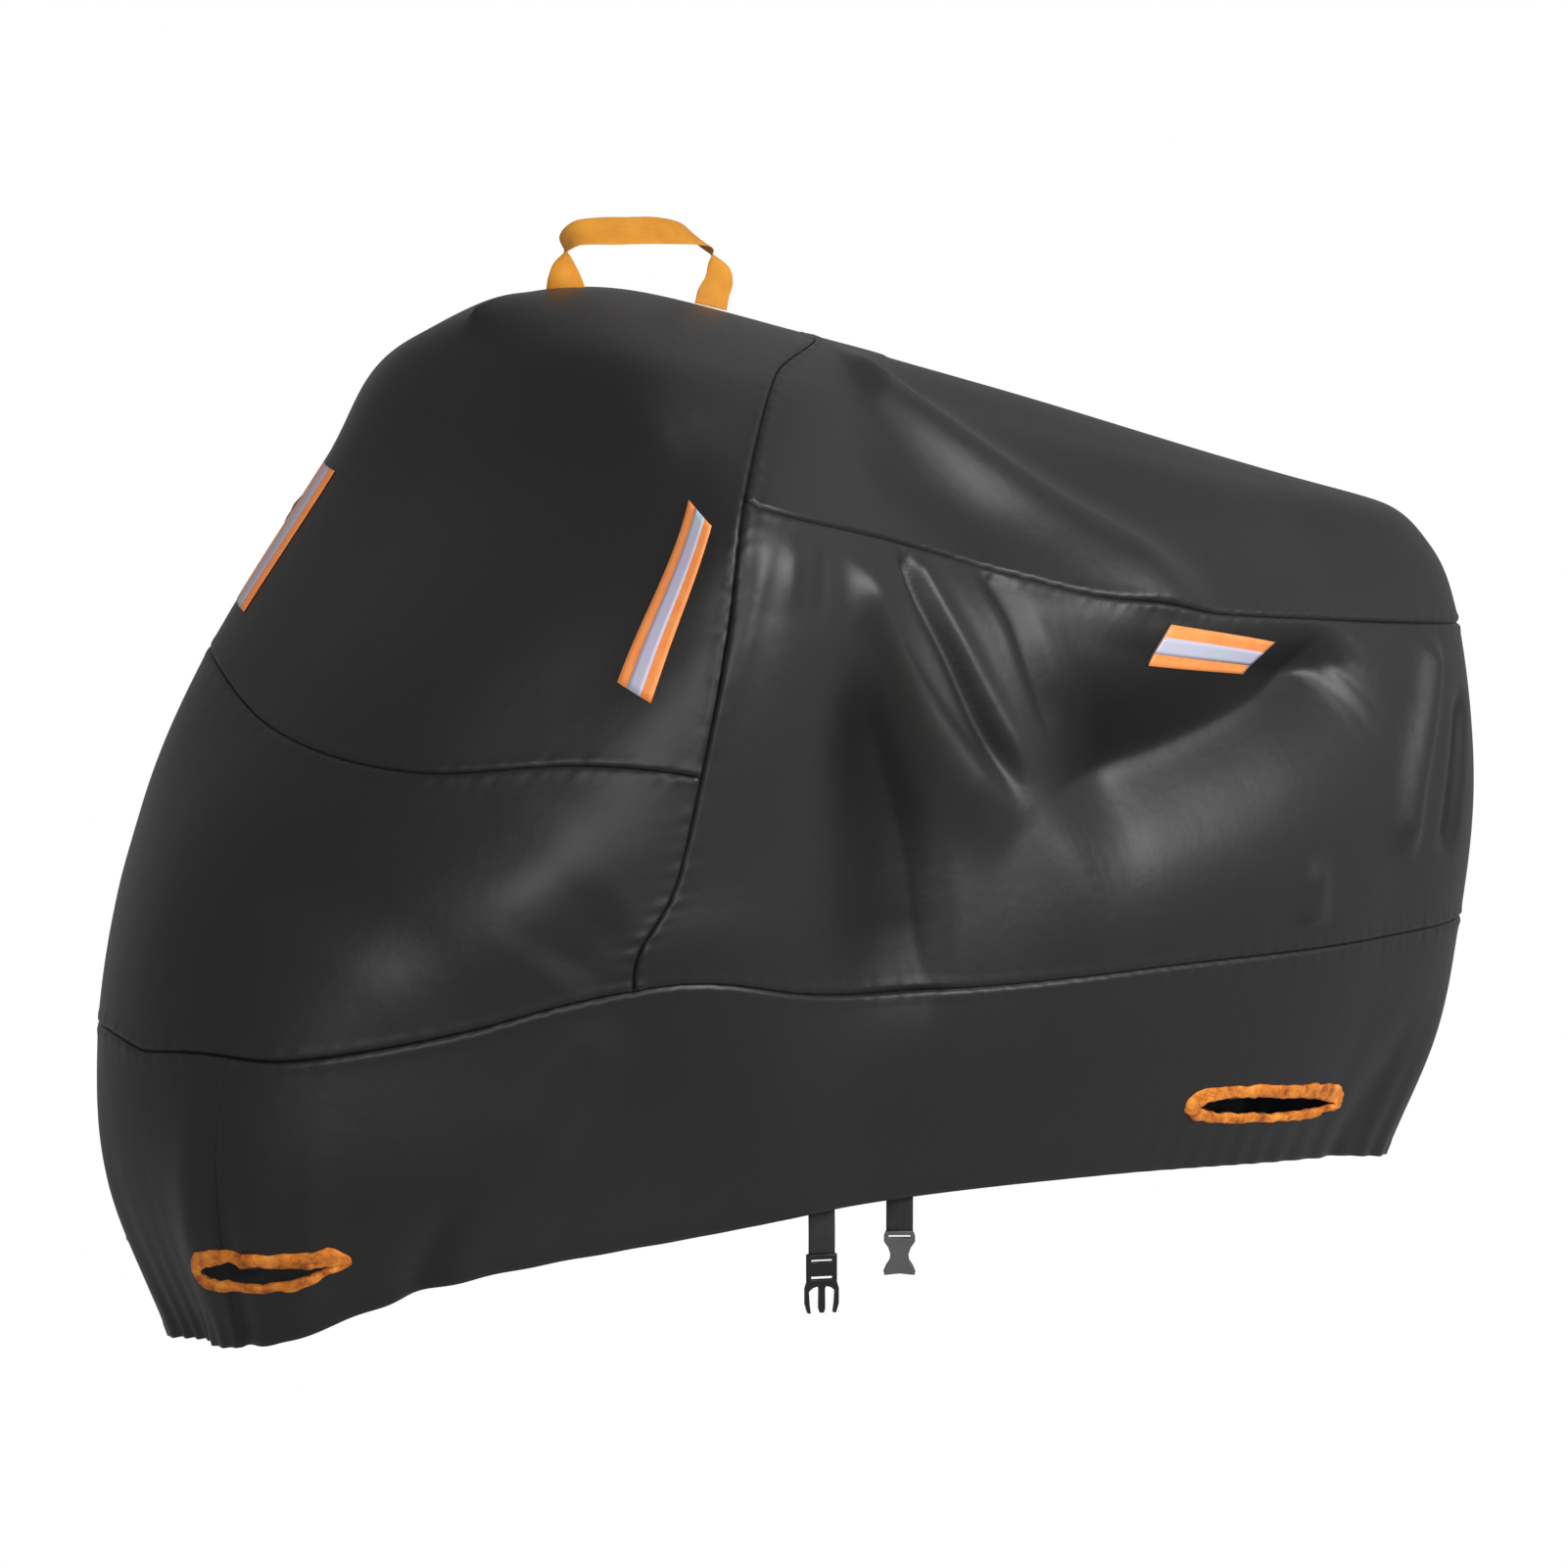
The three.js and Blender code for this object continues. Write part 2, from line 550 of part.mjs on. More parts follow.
// A grid of places between a lower and an upper edge, drawn in by half a seam gap on each sewn side. Its rows
// come in stretches, so that panels that meet along a seam share their rows there.
function panelPlaces(us, stretches, lower, upper, inset) {
  const last = us.length - 1;
  const shares = [0];
  for (const { rows, to } of stretches) {
    const from = shares.at(-1);
    for (let n = 1; n <= rows; n++) shares.push(from + ((to - from) * n) / rows);
  }
  return shares.map((share) =>
    us.map((u, c) => {
      const side = (c === 0 ? inset.start : 0) - (c === last ? inset.end : 0);
      const place = u + side / ringGap(Math.floor(u - (c === last ? 0.5 : 0)));
      const v = lower(u) + (upper(u) - lower(u)) * share;
      const lift = (share === 0 ? inset.lower : 0) - (share === 1 ? inset.upper : 0);
      return [place, v + lift / levelGap(Math.floor(v - (share === 1 ? TINY : 0)))];
    }),
  );
}

const SEWN = SEAM_GAP / 2;

// Strips between two edges on the cloth, for tapes, bindings and the cutters of the slots.
function tapePlaces(corners, shares) {
  const [a, b, c, d] = corners;
  const mix = (s, t, k) => (a[k] * (1 - s) + b[k] * s) * (1 - t) + (c[k] * (1 - s) + d[k] * s) * t;
  return [...shares].reverse().map((t) =>
    Array.from({ length: TAPE_STEPS + 1 }, (_, i) => {
      const s = i / TAPE_STEPS;
      return [mix(s, t, 0), mix(s, t, 1)];
    }),
  );
}
function turned(places) {
  return places.map((row) => [...row].reverse());
}
function facingOut(places) {
  const [[a, b]] = places;
  return b[0] > a[0] || (b[0] === a[0] && places[0][0][1] > 0) ? places : turned(places);
}

const SLOT_STEPS = 12;
function slotPlaces(slot, height, inset) {
  const [u0, v0] = slot.from;
  const [u1, v1] = slot.to;
  const gap = ringGap(Math.floor((u0 + u1) / 2));
  const middle = [(u0 + u1) / 2, (v0 + v1) / 2];
  const half = (Math.abs(u1 - u0) * gap) / 2 - inset;
  const rise = height / 2 / levelGap(0);
  return [-1, 1].map((side) =>
    Array.from({ length: SLOT_STEPS + 1 }, (_, k) => {
      const s = -Math.cos((Math.PI * (k + 0.35)) / (SLOT_STEPS + 0.7));
      const shape = Math.pow(1 - Math.pow(Math.abs(s), 5), 0.5);
      const along = (s * half) / gap;
      const slope = (v1 - v0) / (u1 - u0);
      return [middle[0] + along, middle[1] + along * slope + side * rise * shape];
    }),
  );
}

// A ribbon through sections of a centre and a half width.
function ribbon(sections, thickness, steps) {
  const centres = new THREE.CatmullRomCurve3(sections.map((s) => new THREE.Vector3(...s.at)));
  const halves = new THREE.CatmullRomCurve3(sections.map((s) => new THREE.Vector3(...s.half)));
  const points = [];
  for (let k = 0; k <= steps; k++) {
    const t = k / steps;
    const centre = centres.getPoint(t);
    const half = halves.getPoint(t);
    const out = centres.getTangent(t).cross(half).normalize().multiplyScalar(thickness / 2);
    for (const [w, o] of [[-1, -1], [1, -1], [1, 1], [-1, 1]]) {
      points.push(centre.clone().addScaledVector(half, w).addScaledVector(out, o));
    }
  }
  const faces = [];
  const quad = (a, b, c, d) => faces.push([a, b, c], [a, c, d]);
  // The two wide faces are split along the same diagonal, so that they stay apart where the ribbon twists.
  for (let k = 0; k < 4 * steps; k += 4) {
    quad(k, k + 1, k + 5, k + 4);
    quad(k + 1, k + 2, k + 6, k + 5);
    quad(k + 3, k + 7, k + 6, k + 2);
    quad(k + 3, k, k + 4, k + 7);
  }
  quad(3, 2, 1, 0);
  quad(4 * steps, 4 * steps + 1, 4 * steps + 2, 4 * steps + 3);
  return meshed(points, faces);
}

// Rows of the panels beside the bar seam, where the hood seam and the belt seam end.
const LOW_ROWS = 5;
const MIDDLE_ROWS = 6;
const HIGH_ROWS = 6;
const SKIRT_ROWS = 4;

function addPanels() {
  const sewn = { start: SEWN, end: SEWN, lower: SEWN, upper: SEWN };
  const open = { start: SEWN, end: SEWN, lower: SEWN, upper: 0 };
  const foot = skirtSeam(BAR);
  const hoodEnd = hoodSeam(BAR);
  const beltEnd = beltSeam(BAR);
  const ridge = () => TOP;
  const flankRows = [
    { rows: LOW_ROWS, to: (hoodEnd - foot) / (beltEnd - foot) },
    { rows: MIDDLE_ROWS, to: 1 },
  ];
  const hoodRows = [
    { rows: MIDDLE_ROWS, to: (beltEnd - hoodEnd) / (TOP - hoodEnd) },
    { rows: HIGH_ROWS, to: 1 },
  ];
  const near = ringPlaces(BAR, HALF);
  const far = ringPlaces(HALF, ROUND - BAR);
  const front = ringPlaces(-BAR, BAR);
  const back = ringPlaces(BAR, ROUND - BAR);
  addCloth("side_panel_near", plate(panelPlaces(near, flankRows, skirtSeam, beltSeam, sewn), 0, -CLOTH, true));
  addCloth("side_panel_far", plate(panelPlaces(far, flankRows, skirtSeam, beltSeam, sewn), 0, -CLOTH, true));
  addCloth("nose_panel",
    plate(panelPlaces(front, [{ rows: LOW_ROWS, to: 1 }], skirtSeam, hoodSeam, sewn), 0, -CLOTH, true));
  // The hood and the saddle panel reach over the ridge, where their two sides meet in one line.
  addCloth("hood_panel", plate(panelPlaces(front, hoodRows, hoodSeam, ridge, open), 0, -CLOTH, true));
  addCloth("saddle_panel",
    plate(panelPlaces(back, [{ rows: HIGH_ROWS, to: 1 }], beltSeam, ridge, open), 0, -CLOTH, true));
}

function addSkirts() {
  const hem = () => 0;
  const hemmed = { start: SEWN, end: SEWN, lower: 0, upper: SEWN };
  const sides = [
    { name: "skirt_near", from: FRONT_JOIN, to: HALF },
    { name: "skirt_far", from: HALF, to: ROUND + FRONT_JOIN },
  ];
  for (const side of sides) {
    const us = ringPlaces(side.from, side.to);
    const places = panelPlaces(us, [{ rows: SKIRT_ROWS, to: 1 }], hem, skirtSeam, hemmed);
    const skirt = plate(places, 0, -CLOTH, true);
    const cutters = SLOTS.map((slot) => slotSolid(slot, slot.height + 2 * BINDING_GAP, -BINDING_GAP, 2));
    addCloth(side.name, cut(skirt, cutters));
  }
}

// A slot's outline as a solid through the cloth.
function slotSolid(slot, height, inset, extra) {
  return plate(facingOut(slotPlaces(slot, height, inset)), BINDING_OUT + extra, -BINDING_IN - extra);
}
function addBindings() {
  for (const slot of SLOTS) {
    const binding = cut(slotSolid(slot, slot.height, 0, 0), [slotSolid(slot, slot.hole, HOLE_INSET, 4)]);
    addMesh("slot_binding_" + slot.name, binding, COLOURS.binding, 0.6);
  }
}

function addTapes() {
  const base = TAPE_CLEARANCE;
  const top = base + TAPE_THICK;
  for (const tape of TAPES) {
    const places = (shares) => facingOut(tapePlaces(tape.corners, shares));
    addMesh("tape_" + tape.name, plate(places(TAPE_ROWS), top, base), COLOURS.orange, 0.35);
    const band = plate(places(BAND_ROWS), top + TOUCH + BAND_THICK, top + TOUCH);
    addMesh("band_" + tape.name, band, COLOURS.silver, 0.3);
  }
}

function addStraps() {
  for (const strap of STRAPS) {
    const angle = THREE.MathUtils.degToRad(strap.turn);
    const half = [(STRAP_WIDTH / 2) * Math.cos(angle), (STRAP_WIDTH / 2) * Math.sin(angle), 0];
    const [x, y] = strap.at;
    const sections = [strap.top, (strap.top + strap.end) / 2, strap.end].map((z) => ({ at: [x, y, z], half }));
    addMesh(strap.name, ribbon(sections, WEBBING, STRAP_STEPS), COLOURS.webbing, 0.8);
  }
}

// The male buckle: a ladder of bars for the webbing and three prongs below it, hanging from its top edge at 0.
function maleOutline() {
  const shape = new THREE.Shape();
  const points = [
    [-19, 0], [-19, -36], [-22, -43], [-20, -64], [-15, -76], [-12, -76], [-14, -46], [-5, -41],
    [-4, -74], [4, -74], [5, -41], [14, -46], [12, -76], [15, -76], [20, -64], [22, -43], [19, -36], [19, 0],
  ];
  shape.setFromPoints(points.map(([x, y]) => new THREE.Vector2(x, y)));
  shape.holes.push(barGap(-6, -11), barGap(-17, -23));
  return shape;
}

// The female buckle: a bar for the webbing, a waist and a flared mouth.
function femaleOutline() {
  const shape = new THREE.Shape();
  const points = [
    [-19, 0], [-19, -13], [-13, -21], [-12, -30], [-18, -43], [-20, -54], [-19, -58],
    [19, -58], [20, -54], [18, -43], [12, -30], [13, -21], [19, -13], [19, 0],
  ];
  shape.setFromPoints(points.map(([x, y]) => new THREE.Vector2(x, y)));
  shape.holes.push(barGap(-4, -9));
  return shape;
}
function barGap(high, low) {
  const gap = new THREE.Path();
  gap.setFromPoints([[-15, high], [-15, low], [15, low], [15, high]].map(([x, y]) => new THREE.Vector2(x, y)));
  return gap;
}

function addBuckles() {
  for (const buckle of BUCKLES) {
    const strap = STRAPS.find((s) => s.name === buckle.strap);
    const shape = buckle.outline();
    const solid = new THREE.ExtrudeGeometry(shape, { depth: BUCKLE_THICK, bevelEnabled: false });
    solid.translate(0, 0, -BUCKLE_THICK / 2);
    const mesh = addMesh(buckle.name, solid, buckle.colour, 0.4);
    mesh.rotation.set(Math.PI / 2, 0, THREE.MathUtils.degToRad(strap.turn), "ZYX");
    mesh.position.set(strap.at[0], strap.at[1], strap.end - TOUCH);
  }
}

addPanels();
addSkirts();
addBindings();
addTapes();
addMesh("handle", ribbon(HANDLE, WEBBING, HANDLE_STEPS), COLOURS.handle, 0.7);
addStraps();
addBuckles();
cover.position.set(-ORIGIN[0], -ORIGIN[1], -ORIGIN[2]);

export default cover;
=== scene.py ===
"""Looks of a fitted motorcycle cover: sewn cloth panels with their folds, reflective tapes, bound lock slots,
a carrying handle and two buckled straps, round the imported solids. Tables are in millimetres, objects in metres."""
import math

import bmesh
import bpy
import numpy as np
from mathutils import Matrix, Vector, noise


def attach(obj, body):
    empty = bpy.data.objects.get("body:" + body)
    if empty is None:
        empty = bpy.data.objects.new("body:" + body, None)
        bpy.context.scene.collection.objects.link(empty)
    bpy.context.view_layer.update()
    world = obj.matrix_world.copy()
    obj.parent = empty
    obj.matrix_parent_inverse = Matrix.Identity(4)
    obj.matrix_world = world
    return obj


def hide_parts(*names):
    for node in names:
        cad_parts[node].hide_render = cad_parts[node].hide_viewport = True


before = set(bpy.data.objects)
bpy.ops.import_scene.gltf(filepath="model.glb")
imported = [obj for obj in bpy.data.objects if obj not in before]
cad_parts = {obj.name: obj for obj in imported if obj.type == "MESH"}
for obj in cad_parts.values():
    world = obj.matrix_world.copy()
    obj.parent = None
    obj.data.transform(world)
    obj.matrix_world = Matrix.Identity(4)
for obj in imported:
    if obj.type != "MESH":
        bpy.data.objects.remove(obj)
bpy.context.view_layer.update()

MM = 0.001
TINY = 1e-9
ORIGIN = np.array([101.0, -6.5, -37.4])  # the part's origin, seen from the origin of the tables

# Stations round the near half of the cover, each as [x, half width, z] at eight levels. The far half mirrors them.
STATIONS = ["front", "corner", "cheek", "bar", "waist", "saddle", "loin", "tail", "rear"]
LEVELS = {
    "hem": {
        "front": [-932, 0, -10], "corner": [-905, 112, 3], "cheek": [-690, 235, 73],
        "bar": [-400, 300, 92], "waist": [-110, 330, 102], "saddle": [290, 335, 80],
        "loin": [690, 292, 36], "tail": [990, 189, -7], "rear": [1088, 0, -9],
    },
    "skirt": {
        "front": [-1005, 0, 175], "corner": [-955, 170, 185], "cheek": [-735, 290, 215],
        "bar": [-490, 350, 235], "waist": [-150, 375, 240], "saddle": [300, 380, 225],
        "loin": [745, 330, 195], "tail": [1068, 213, 170], "rear": [1174, 0, 165],
    },
    "seam": {
        "front": [-1020, 0, 340], "corner": [-955, 190, 345], "cheek": [-770, 305, 385],
        "bar": [-580, 395, 443], "waist": [-160, 400, 390], "saddle": [340, 405, 365],
        "loin": [795, 345, 335], "tail": [1102, 220, 318], "rear": [1206, 0, 312],
    },
    "belly": {
        "front": [-965, 0, 560], "corner": [-880, 216, 565], "cheek": [-735, 350, 575],
        "bar": [-550, 420, 580], "waist": [-126, 387, 585], "saddle": [330, 412, 545],
        "loin": [785, 354, 545], "tail": [1120, 228, 525], "rear": [1222, 0, 520],
    },
    "belt": {
        "front": [-785, 0, 800], "corner": [-732, 208, 805], "cheek": [-610, 340, 825],
        "bar": [-508, 437, 872], "waist": [-80, 358, 865], "saddle": [297, 360, 827],
        "loin": [735, 306, 796], "tail": [1106, 204, 765], "rear": [1211, 0, 755],
    },
    "shoulder": {
        "front": [-568, 0, 1050], "corner": [-530, 196, 1050], "cheek": [-475, 332, 1045],
        "bar": [-422, 396, 1036], "waist": [0, 270, 1010], "saddle": [360, 210, 967],
        "loin": [765, 190, 915], "tail": [1088, 158, 872], "rear": [1190, 0, 860],
    },
    "crown": {
        "front": [-522, 0, 1198], "corner": [-487, 146, 1205], "cheek": [-408, 236, 1198],
        "bar": [-222, 236, 1168], "waist": [75, 145, 1120], "saddle": [395, 110, 1058],
        "loin": [760, 105, 980], "tail": [1055, 92, 930], "rear": [1138, 0, 918],
    },
    "ridge": {
        "front": [-505, 0, 1252], "corner": [-425, 0, 1268], "cheek": [-250, 0, 1265],
        "bar": [30, 0, 1202], "waist": [190, 0, 1163], "saddle": [445, 0, 1100],
        "loin": [765, 0, 1016], "tail": [1005, 0, 954], "rear": [1072, 0, 938],
    },
}
# The bars are turned to the near side: how far each level's front stations shift in x for each mm of y.
TURNS = {"hem": 0, "skirt": 0, "seam": 0.03, "belly": 0.08, "belt": 0.12, "shoulder": 0.075, "crown": 0.05,
         "ridge": 0}
TURN_SHARES = {"front": 1, "corner": 1, "cheek": 1, "bar": 1, "waist": 0.3}
# The far side's own stations: how far each lies from the near one's mirror image in x, half width and z.
FAR_SIDE = {
    "hem": {"corner": [0, 0, -26], "cheek": [0, 0, -108], "bar": [0, 0, -127], "waist": [0, 0, -136],
            "saddle": [0, 0, -112], "loin": [0, 0, -64], "tail": [0, 0, -16]},
    "belly": {"corner": [-2, 2, 0], "cheek": [6, -8, 0]},
    "belt": {"corner": [-22, 9, 0], "cheek": [5, -18, 0], "bar": [8, -20, 0]},
    "shoulder": {"corner": [-44, 13, 0], "cheek": [0, -16, 0], "bar": [6, -14, 0]},
    "crown": {"corner": [-14, 0, -3], "cheek": [6, -12, -4], "bar": [4, -8, 0]},
}
# Typical distances between neighbouring stations and between neighbouring levels.
RING_GAPS = [230, 190, 150, 400, 430, 430, 340, 250]
LEVEL_GAPS = [180, 175, 220, 250, 210, 160, 120]

# Past the ridge's two ends the surface runs on by these shares of its last steps inward and upward.
END_REACH = 0.9
END_RISE = 0.2

HALF = len(STATIONS) - 1
ROUND = 2 * HALF
TOP = len(LEVELS) - 1
BAR = STATIONS.index("bar")
RING_STEPS = np.array(RING_GAPS + RING_GAPS[::-1], float)
RING_TURNS = np.concatenate([[0], np.cumsum(RING_STEPS)]) / RING_STEPS.sum()  # shares of the way round
LEVEL_STEPS = np.array([LEVEL_GAPS[0], *LEVEL_GAPS, LEVEL_GAPS[-1]], float)

# Seams, as level places at the stations. The skirt's seam has one more between each two.
SKIRT_SEAM = [2.11, 2.16, 2.12, 2.1, 2.07, 2.04, 1.97, 1.895, 1.99, 2.0, 2.02, 2.04, 2.06, 2.07, 2.08, 2.07, 2.06]
BELT_SEAM = [4.95, 4.49, 4.15, 4.01, 3.97, 3.95]
HOOD_SEAM = [3.42, 3.58, 3.62, 3.8, 4.06, 3.94, 3.42]
FRONT_JOIN = 2 / 3

# Folds seen from the side, each along a line of points in x and z. Left and right are its widths on the two sides
# of that way, pinch is how narrow it starts, height is out of the cloth (below 0 into it), and fades are the shares
# of its length over which it comes in and goes out. A lower power than 2 gives it a sharper line.
FOLDS = [
    {"name": "saddle ridge", "line": [(-30, 1175), (97, 1077), (227, 986), (362, 901), (500, 820)],
     "left": 48, "right": 62, "pinch": 0.6, "height": 29, "fades": (0.1, 0.25)},
    {"name": "saddle hollow", "line": [(-150, 1080), (20, 985), (180, 900)],
     "left": 60, "right": 60, "pinch": 0.6, "height": -8, "fades": (0.3, 0.4)},
    {"name": "fan ridge", "line": [(-222, 973), (-198, 909), (-157, 839), (-102, 765), (-48, 696), (13, 625),
                                   (75, 570)],
     "left": 24, "right": 62, "pinch": 0.45, "height": 26, "fades": (0.16, 0.25), "under": 0.25},
    {"name": "fan valley", "line": [(-99, 961), (-75, 887), (-34, 807), (3, 728), (47, 656), (80, 605)],
     "left": 16, "right": 14, "pinch": 0.6, "height": -11, "fades": (0.1, 0.25), "under": 0.2},
    {"name": "fan second ridge", "line": [(-67, 939), (-39, 878), (-4, 805), (35, 730), (73, 671), (97, 626)],
     "left": 26, "right": 16, "pinch": 0.5, "height": 8, "fades": (0.08, 0.25), "under": 0.1},
    {"name": "second valley", "line": [(54, 918), (88, 858), (106, 787), (128, 725), (162, 672)],
     "left": 34, "right": 18, "pinch": 0.7, "height": -9, "fades": (0.15, 0.3), "under": 0.1},
    {"name": "pocket", "line": [(743, 814), (692, 765), (602, 720), (500, 689), (373, 661), (264, 643), (157, 619),
                                (88, 593)],
     "left": 108, "right": 140, "pinch": 0.85, "height": -58, "fades": (0.12, 0.25), "power": 1.4, "under": 0.3,
     "broad": True},
    {"name": "bulge", "line": [(27, 515), (102, 504), (214, 513), (348, 549), (501, 607), (632, 670), (708, 731)],
     "left": 80, "right": 130, "pinch": 1, "height": 8, "fades": (0.25, 0.25)},
    {"name": "side hollow", "line": [(-223, 886), (-180, 782), (-136, 663), (-112, 563), (-109, 451),
                                     (-115, 300)],
     "left": 45, "right": 170, "pinch": 0.5, "height": -30, "fades": (0.3, 0.3)},
    {"name": "bar ridge", "line": [(-382, 1010), (-420, 917), (-469, 783), (-507, 654)],
     "left": 18, "right": 14, "pinch": 0.8, "height": 5, "fades": (0.35, 0.5), "under": 0.3},
    {"name": "bar second ridge", "line": [(-333, 994), (-361, 936), (-373, 870)],
     "left": 18, "right": 16, "pinch": 0.8, "height": 4, "fades": (0.4, 0.5), "under": 0.3},
    {"name": "bar valley", "line": [(-286, 975), (-300, 918), (-320, 860)],
     "left": 18, "right": 14, "pinch": 0.8, "height": -3, "fades": (0.3, 0.5), "under": 0.3},
    {"name": "nose ridge", "line": [(-515, 696), (-571, 650), (-631, 605), (-698, 548), (-761, 499), (-811, 457)],
     "left": 80, "right": 80, "pinch": 0.7, "height": 11, "fades": (0.45, 0.4)},
    {"name": "nose hollow", "line": [(-581, 551), (-627, 514), (-670, 459)],
     "left": 55, "right": 60, "pinch": 1, "height": -8, "fades": (0.4, 0.3)},
    {"name": "nose upper hollow", "line": [(-654, 700), (-727, 634), (-815, 552), (-893, 482)],
     "left": 75, "right": 80, "pinch": 1, "height": -10, "fades": (0.3, 0.3)},
    {"name": "tail ridge", "line": [(992, 760), (945, 660), (886, 545), (859, 438)],
     "left": 20, "right": 42, "pinch": 0.7, "height": 14, "fades": (0.15, 0.2)},
    {"name": "tail valley", "line": [(1060, 680), (1037, 622), (1003, 529), (971, 432)],
     "left": 20, "right": 22, "pinch": 0.8, "height": -12, "fades": (0.2, 0.2)},
    {"name": "tail foot", "line": [(622, 495), (629, 446), (623, 384)],
     "left": 26, "right": 26, "pinch": 0.8, "height": 7, "fades": (0.4, 0.15)},
    {"name": "skirt wave", "line": [(-577, 411), (-616, 349), (-651, 278), (-690, 206)],
     "left": 45, "right": 50, "pinch": 0.8, "height": 8, "fades": (0.25, 0.3)},
]
FAR_SHARE = 0.7
FAR_SHIFT = 30
BLEND = 25  # distance from the middle over which one side's folds give way to the other's

# Gathers that run up from the hem, at a ring place, leaning by lean for each level.
GATHERS = [
    {"at": 0.3, "lean": 0.1, "width": 0.13, "height": 6, "top": 2.3},
    {"at": 0.75, "lean": -0.05, "width": 0.1, "height": -8, "top": 2.0},
    {"at": 1.15, "lean": 0.1, "width": 0.11, "height": 6, "top": 1.9},
    {"at": 1.75, "lean": 0.2, "width": 0.1, "height": -7, "top": 1.2},
    {"at": 6.35, "lean": 0.1, "width": 0.12, "height": -7, "top": 1.5},
    {"at": 6.75, "lean": 0.05, "width": 0.12, "height": 7, "top": 1.9},
    {"at": 7.2, "lean": 0.05, "width": 0.12, "height": -7, "top": 2.2},
    {"at": 8.7, "lean": 0, "width": 0.16, "height": 7, "top": 2.0},
    {"at": 9.5, "lean": -0.1, "width": 0.13, "height": -7, "top": 1.6},
    {"at": 14.6, "lean": -0.1, "width": 0.13, "height": -7, "top": 1.7},
    {"at": 15.3, "lean": 0, "width": 0.14, "height": 6, "top": 2.1},
]

# Tapes, as ring and level places of their four corners: top start, top end, bottom start, bottom end.
TAPES = {
    "front_near": [(2.2, 4.92), (2.15, 3.93), (2.6, 4.77), (2.48, 3.78)],
    "front_far": [(15.2, 4.95), (15.22, 4.27), (14.93, 4.99), (14.95, 4.31)],
    "side_near": [(5.2, 4.0), (5.72, 3.9), (5.1, 3.8), (5.6, 3.75)],
    "side_far": [(10.8, 4.0), (10.28, 3.9), (10.9, 3.8), (10.4, 3.75)],
}
TAPE_MARGIN = 45
TAPE_THICK = 0.9
BAND_SHARES = (0.3, 0.7)

# Lock slots, from one end to the other in ring and level places, with the height of the binding.
SLOTS = {
    "front_near": {"from": (0.36, 0.59), "to": (1.44, 0.49), "height": 56},
    "front_far": {"from": (15.2, 0.59), "to": (14.12, 0.49), "height": 56},
    "rear_near": {"from": (5.26, 0.63), "to": (6.18, 0.47), "height": 64},
    "rear_far": {"from": (10.74, 0.63), "to": (9.82, 0.47), "height": 64},
}
# A binding's outer and inner edge round the slot, as shares of half its length and half its height.
BINDING_EDGES = [
    {"outer": (-1.0, 0.0), "inner": (-0.84, -0.1)},
    {"outer": (-0.965, 0.5), "inner": (-0.74, 0.14)},
    {"outer": (-0.82, 0.86), "inner": (-0.52, 0.27)},
    {"outer": (-0.45, 0.97), "inner": (-0.3, 0.33)},
    {"outer": (0.05, 0.98), "inner": (0.0, 0.31)},
    {"outer": (0.5, 1.0), "inner": (0.38, 0.26)},
    {"outer": (0.8, 0.95), "inner": (0.62, 0.16)},
    {"outer": (0.95, 0.58), "inner": (0.78, 0.05)},
    {"outer": (1.02, -0.02), "inner": (0.86, -0.02)},
    {"outer": (0.95, -0.3), "inner": (0.8, -0.1)},
    {"outer": (0.78, -0.45), "inner": (0.7, -0.16)},
    {"outer": (0.55, -0.78), "inner": (0.5, -0.3)},
    {"outer": (0.1, -0.92), "inner": (0.1, -0.5)},
    {"outer": (-0.45, -1.0), "inner": (-0.42, -0.52)},
    {"outer": (-0.82, -0.88), "inner": (-0.66, -0.44)},
    {"outer": (-0.97, -0.5), "inner": (-0.79, -0.26)},
]

# Sections of the handle: centre, and the half width as a vector.
HANDLE = [
    {"at": (-364, 0, 1270), "half": (20, -15, 3)},
    {"at": (-366, 0, 1289), "half": (25, 0, 1)},
    {"at": (-366, 0, 1308), "half": (22, 12, 0)},
    {"at": (-360, 0, 1330), "half": (5, 24, 5)},
    {"at": (-338, 0, 1341), "half": (0, 19, 14)},
    {"at": (-300, 0, 1343), "half": (0, 18, 17)},
    {"at": (-250, 0, 1343), "half": (0, 18, 17)},
    {"at": (-200, 0, 1342), "half": (0, 18, 17)},
    {"at": (-156, 0, 1336), "half": (0, 20, 13)},
    {"at": (-134, 0, 1320), "half": (5, 23, 3)},
    {"at": (-113, 0, 1297), "half": (23, 9, -2)},
    {"at": (-111, 0, 1277), "half": (25, 2, -4)},
    {"at": (-120, 0, 1260), "half": (24.5, -2, -5)},
    {"at": (-125, 0, 1242), "half": (24.5, -3, -5.5)},
]

# Straps hang inside the hem, each from its top centre to its lower end, turned to face the front corner.
STRAPS = {
    "male": {"at": (-192, -304), "top": 150, "end": 39, "turn": -28},
    "female": {"at": (-62, -308), "top": 150, "end": 51, "turn": -40},
}
STRAP_WIDTH = 35
WEBBING = 2.0

# The cloth's own sizes.
CLOTH_THICK = 1.4
GRID = 7.8  # spacing of the cloth's points
EDGE_ROWS = [0, 1.5, 3.2, 5.5, 8.5, 12.5]  # extra rows beside each sewn edge
# The seam's groove and welt in mm. Dark is the width over which the colour beside a seam is darkened, partly for its
# dark thread and partly as painted shade in the groove.
GROOVE = {"depth": 3.2, "width": 2.6, "dark": 2.4, "welt": 1.3, "welt_at": 8.5, "welt_width": 4.5}
PUCKER = {"height": 0.55, "pitch": 23, "reach": 16}
PAINTED_SHADE_DEPTH = 40  # folds this deep get the darkest painted shade
HEM = {"width": 20, "lift": 0.9, "ruffle": 2.2, "ruffles": 90, "ruffle_beats": 9}

# The camera and the floor.
CAMERA = {"azimuth": -40, "elevation": 8, "distance": 6500, "target": (0, 0, 600), "lens": 111.1}
SENSOR = 36
FLOOR_SIZE = 60


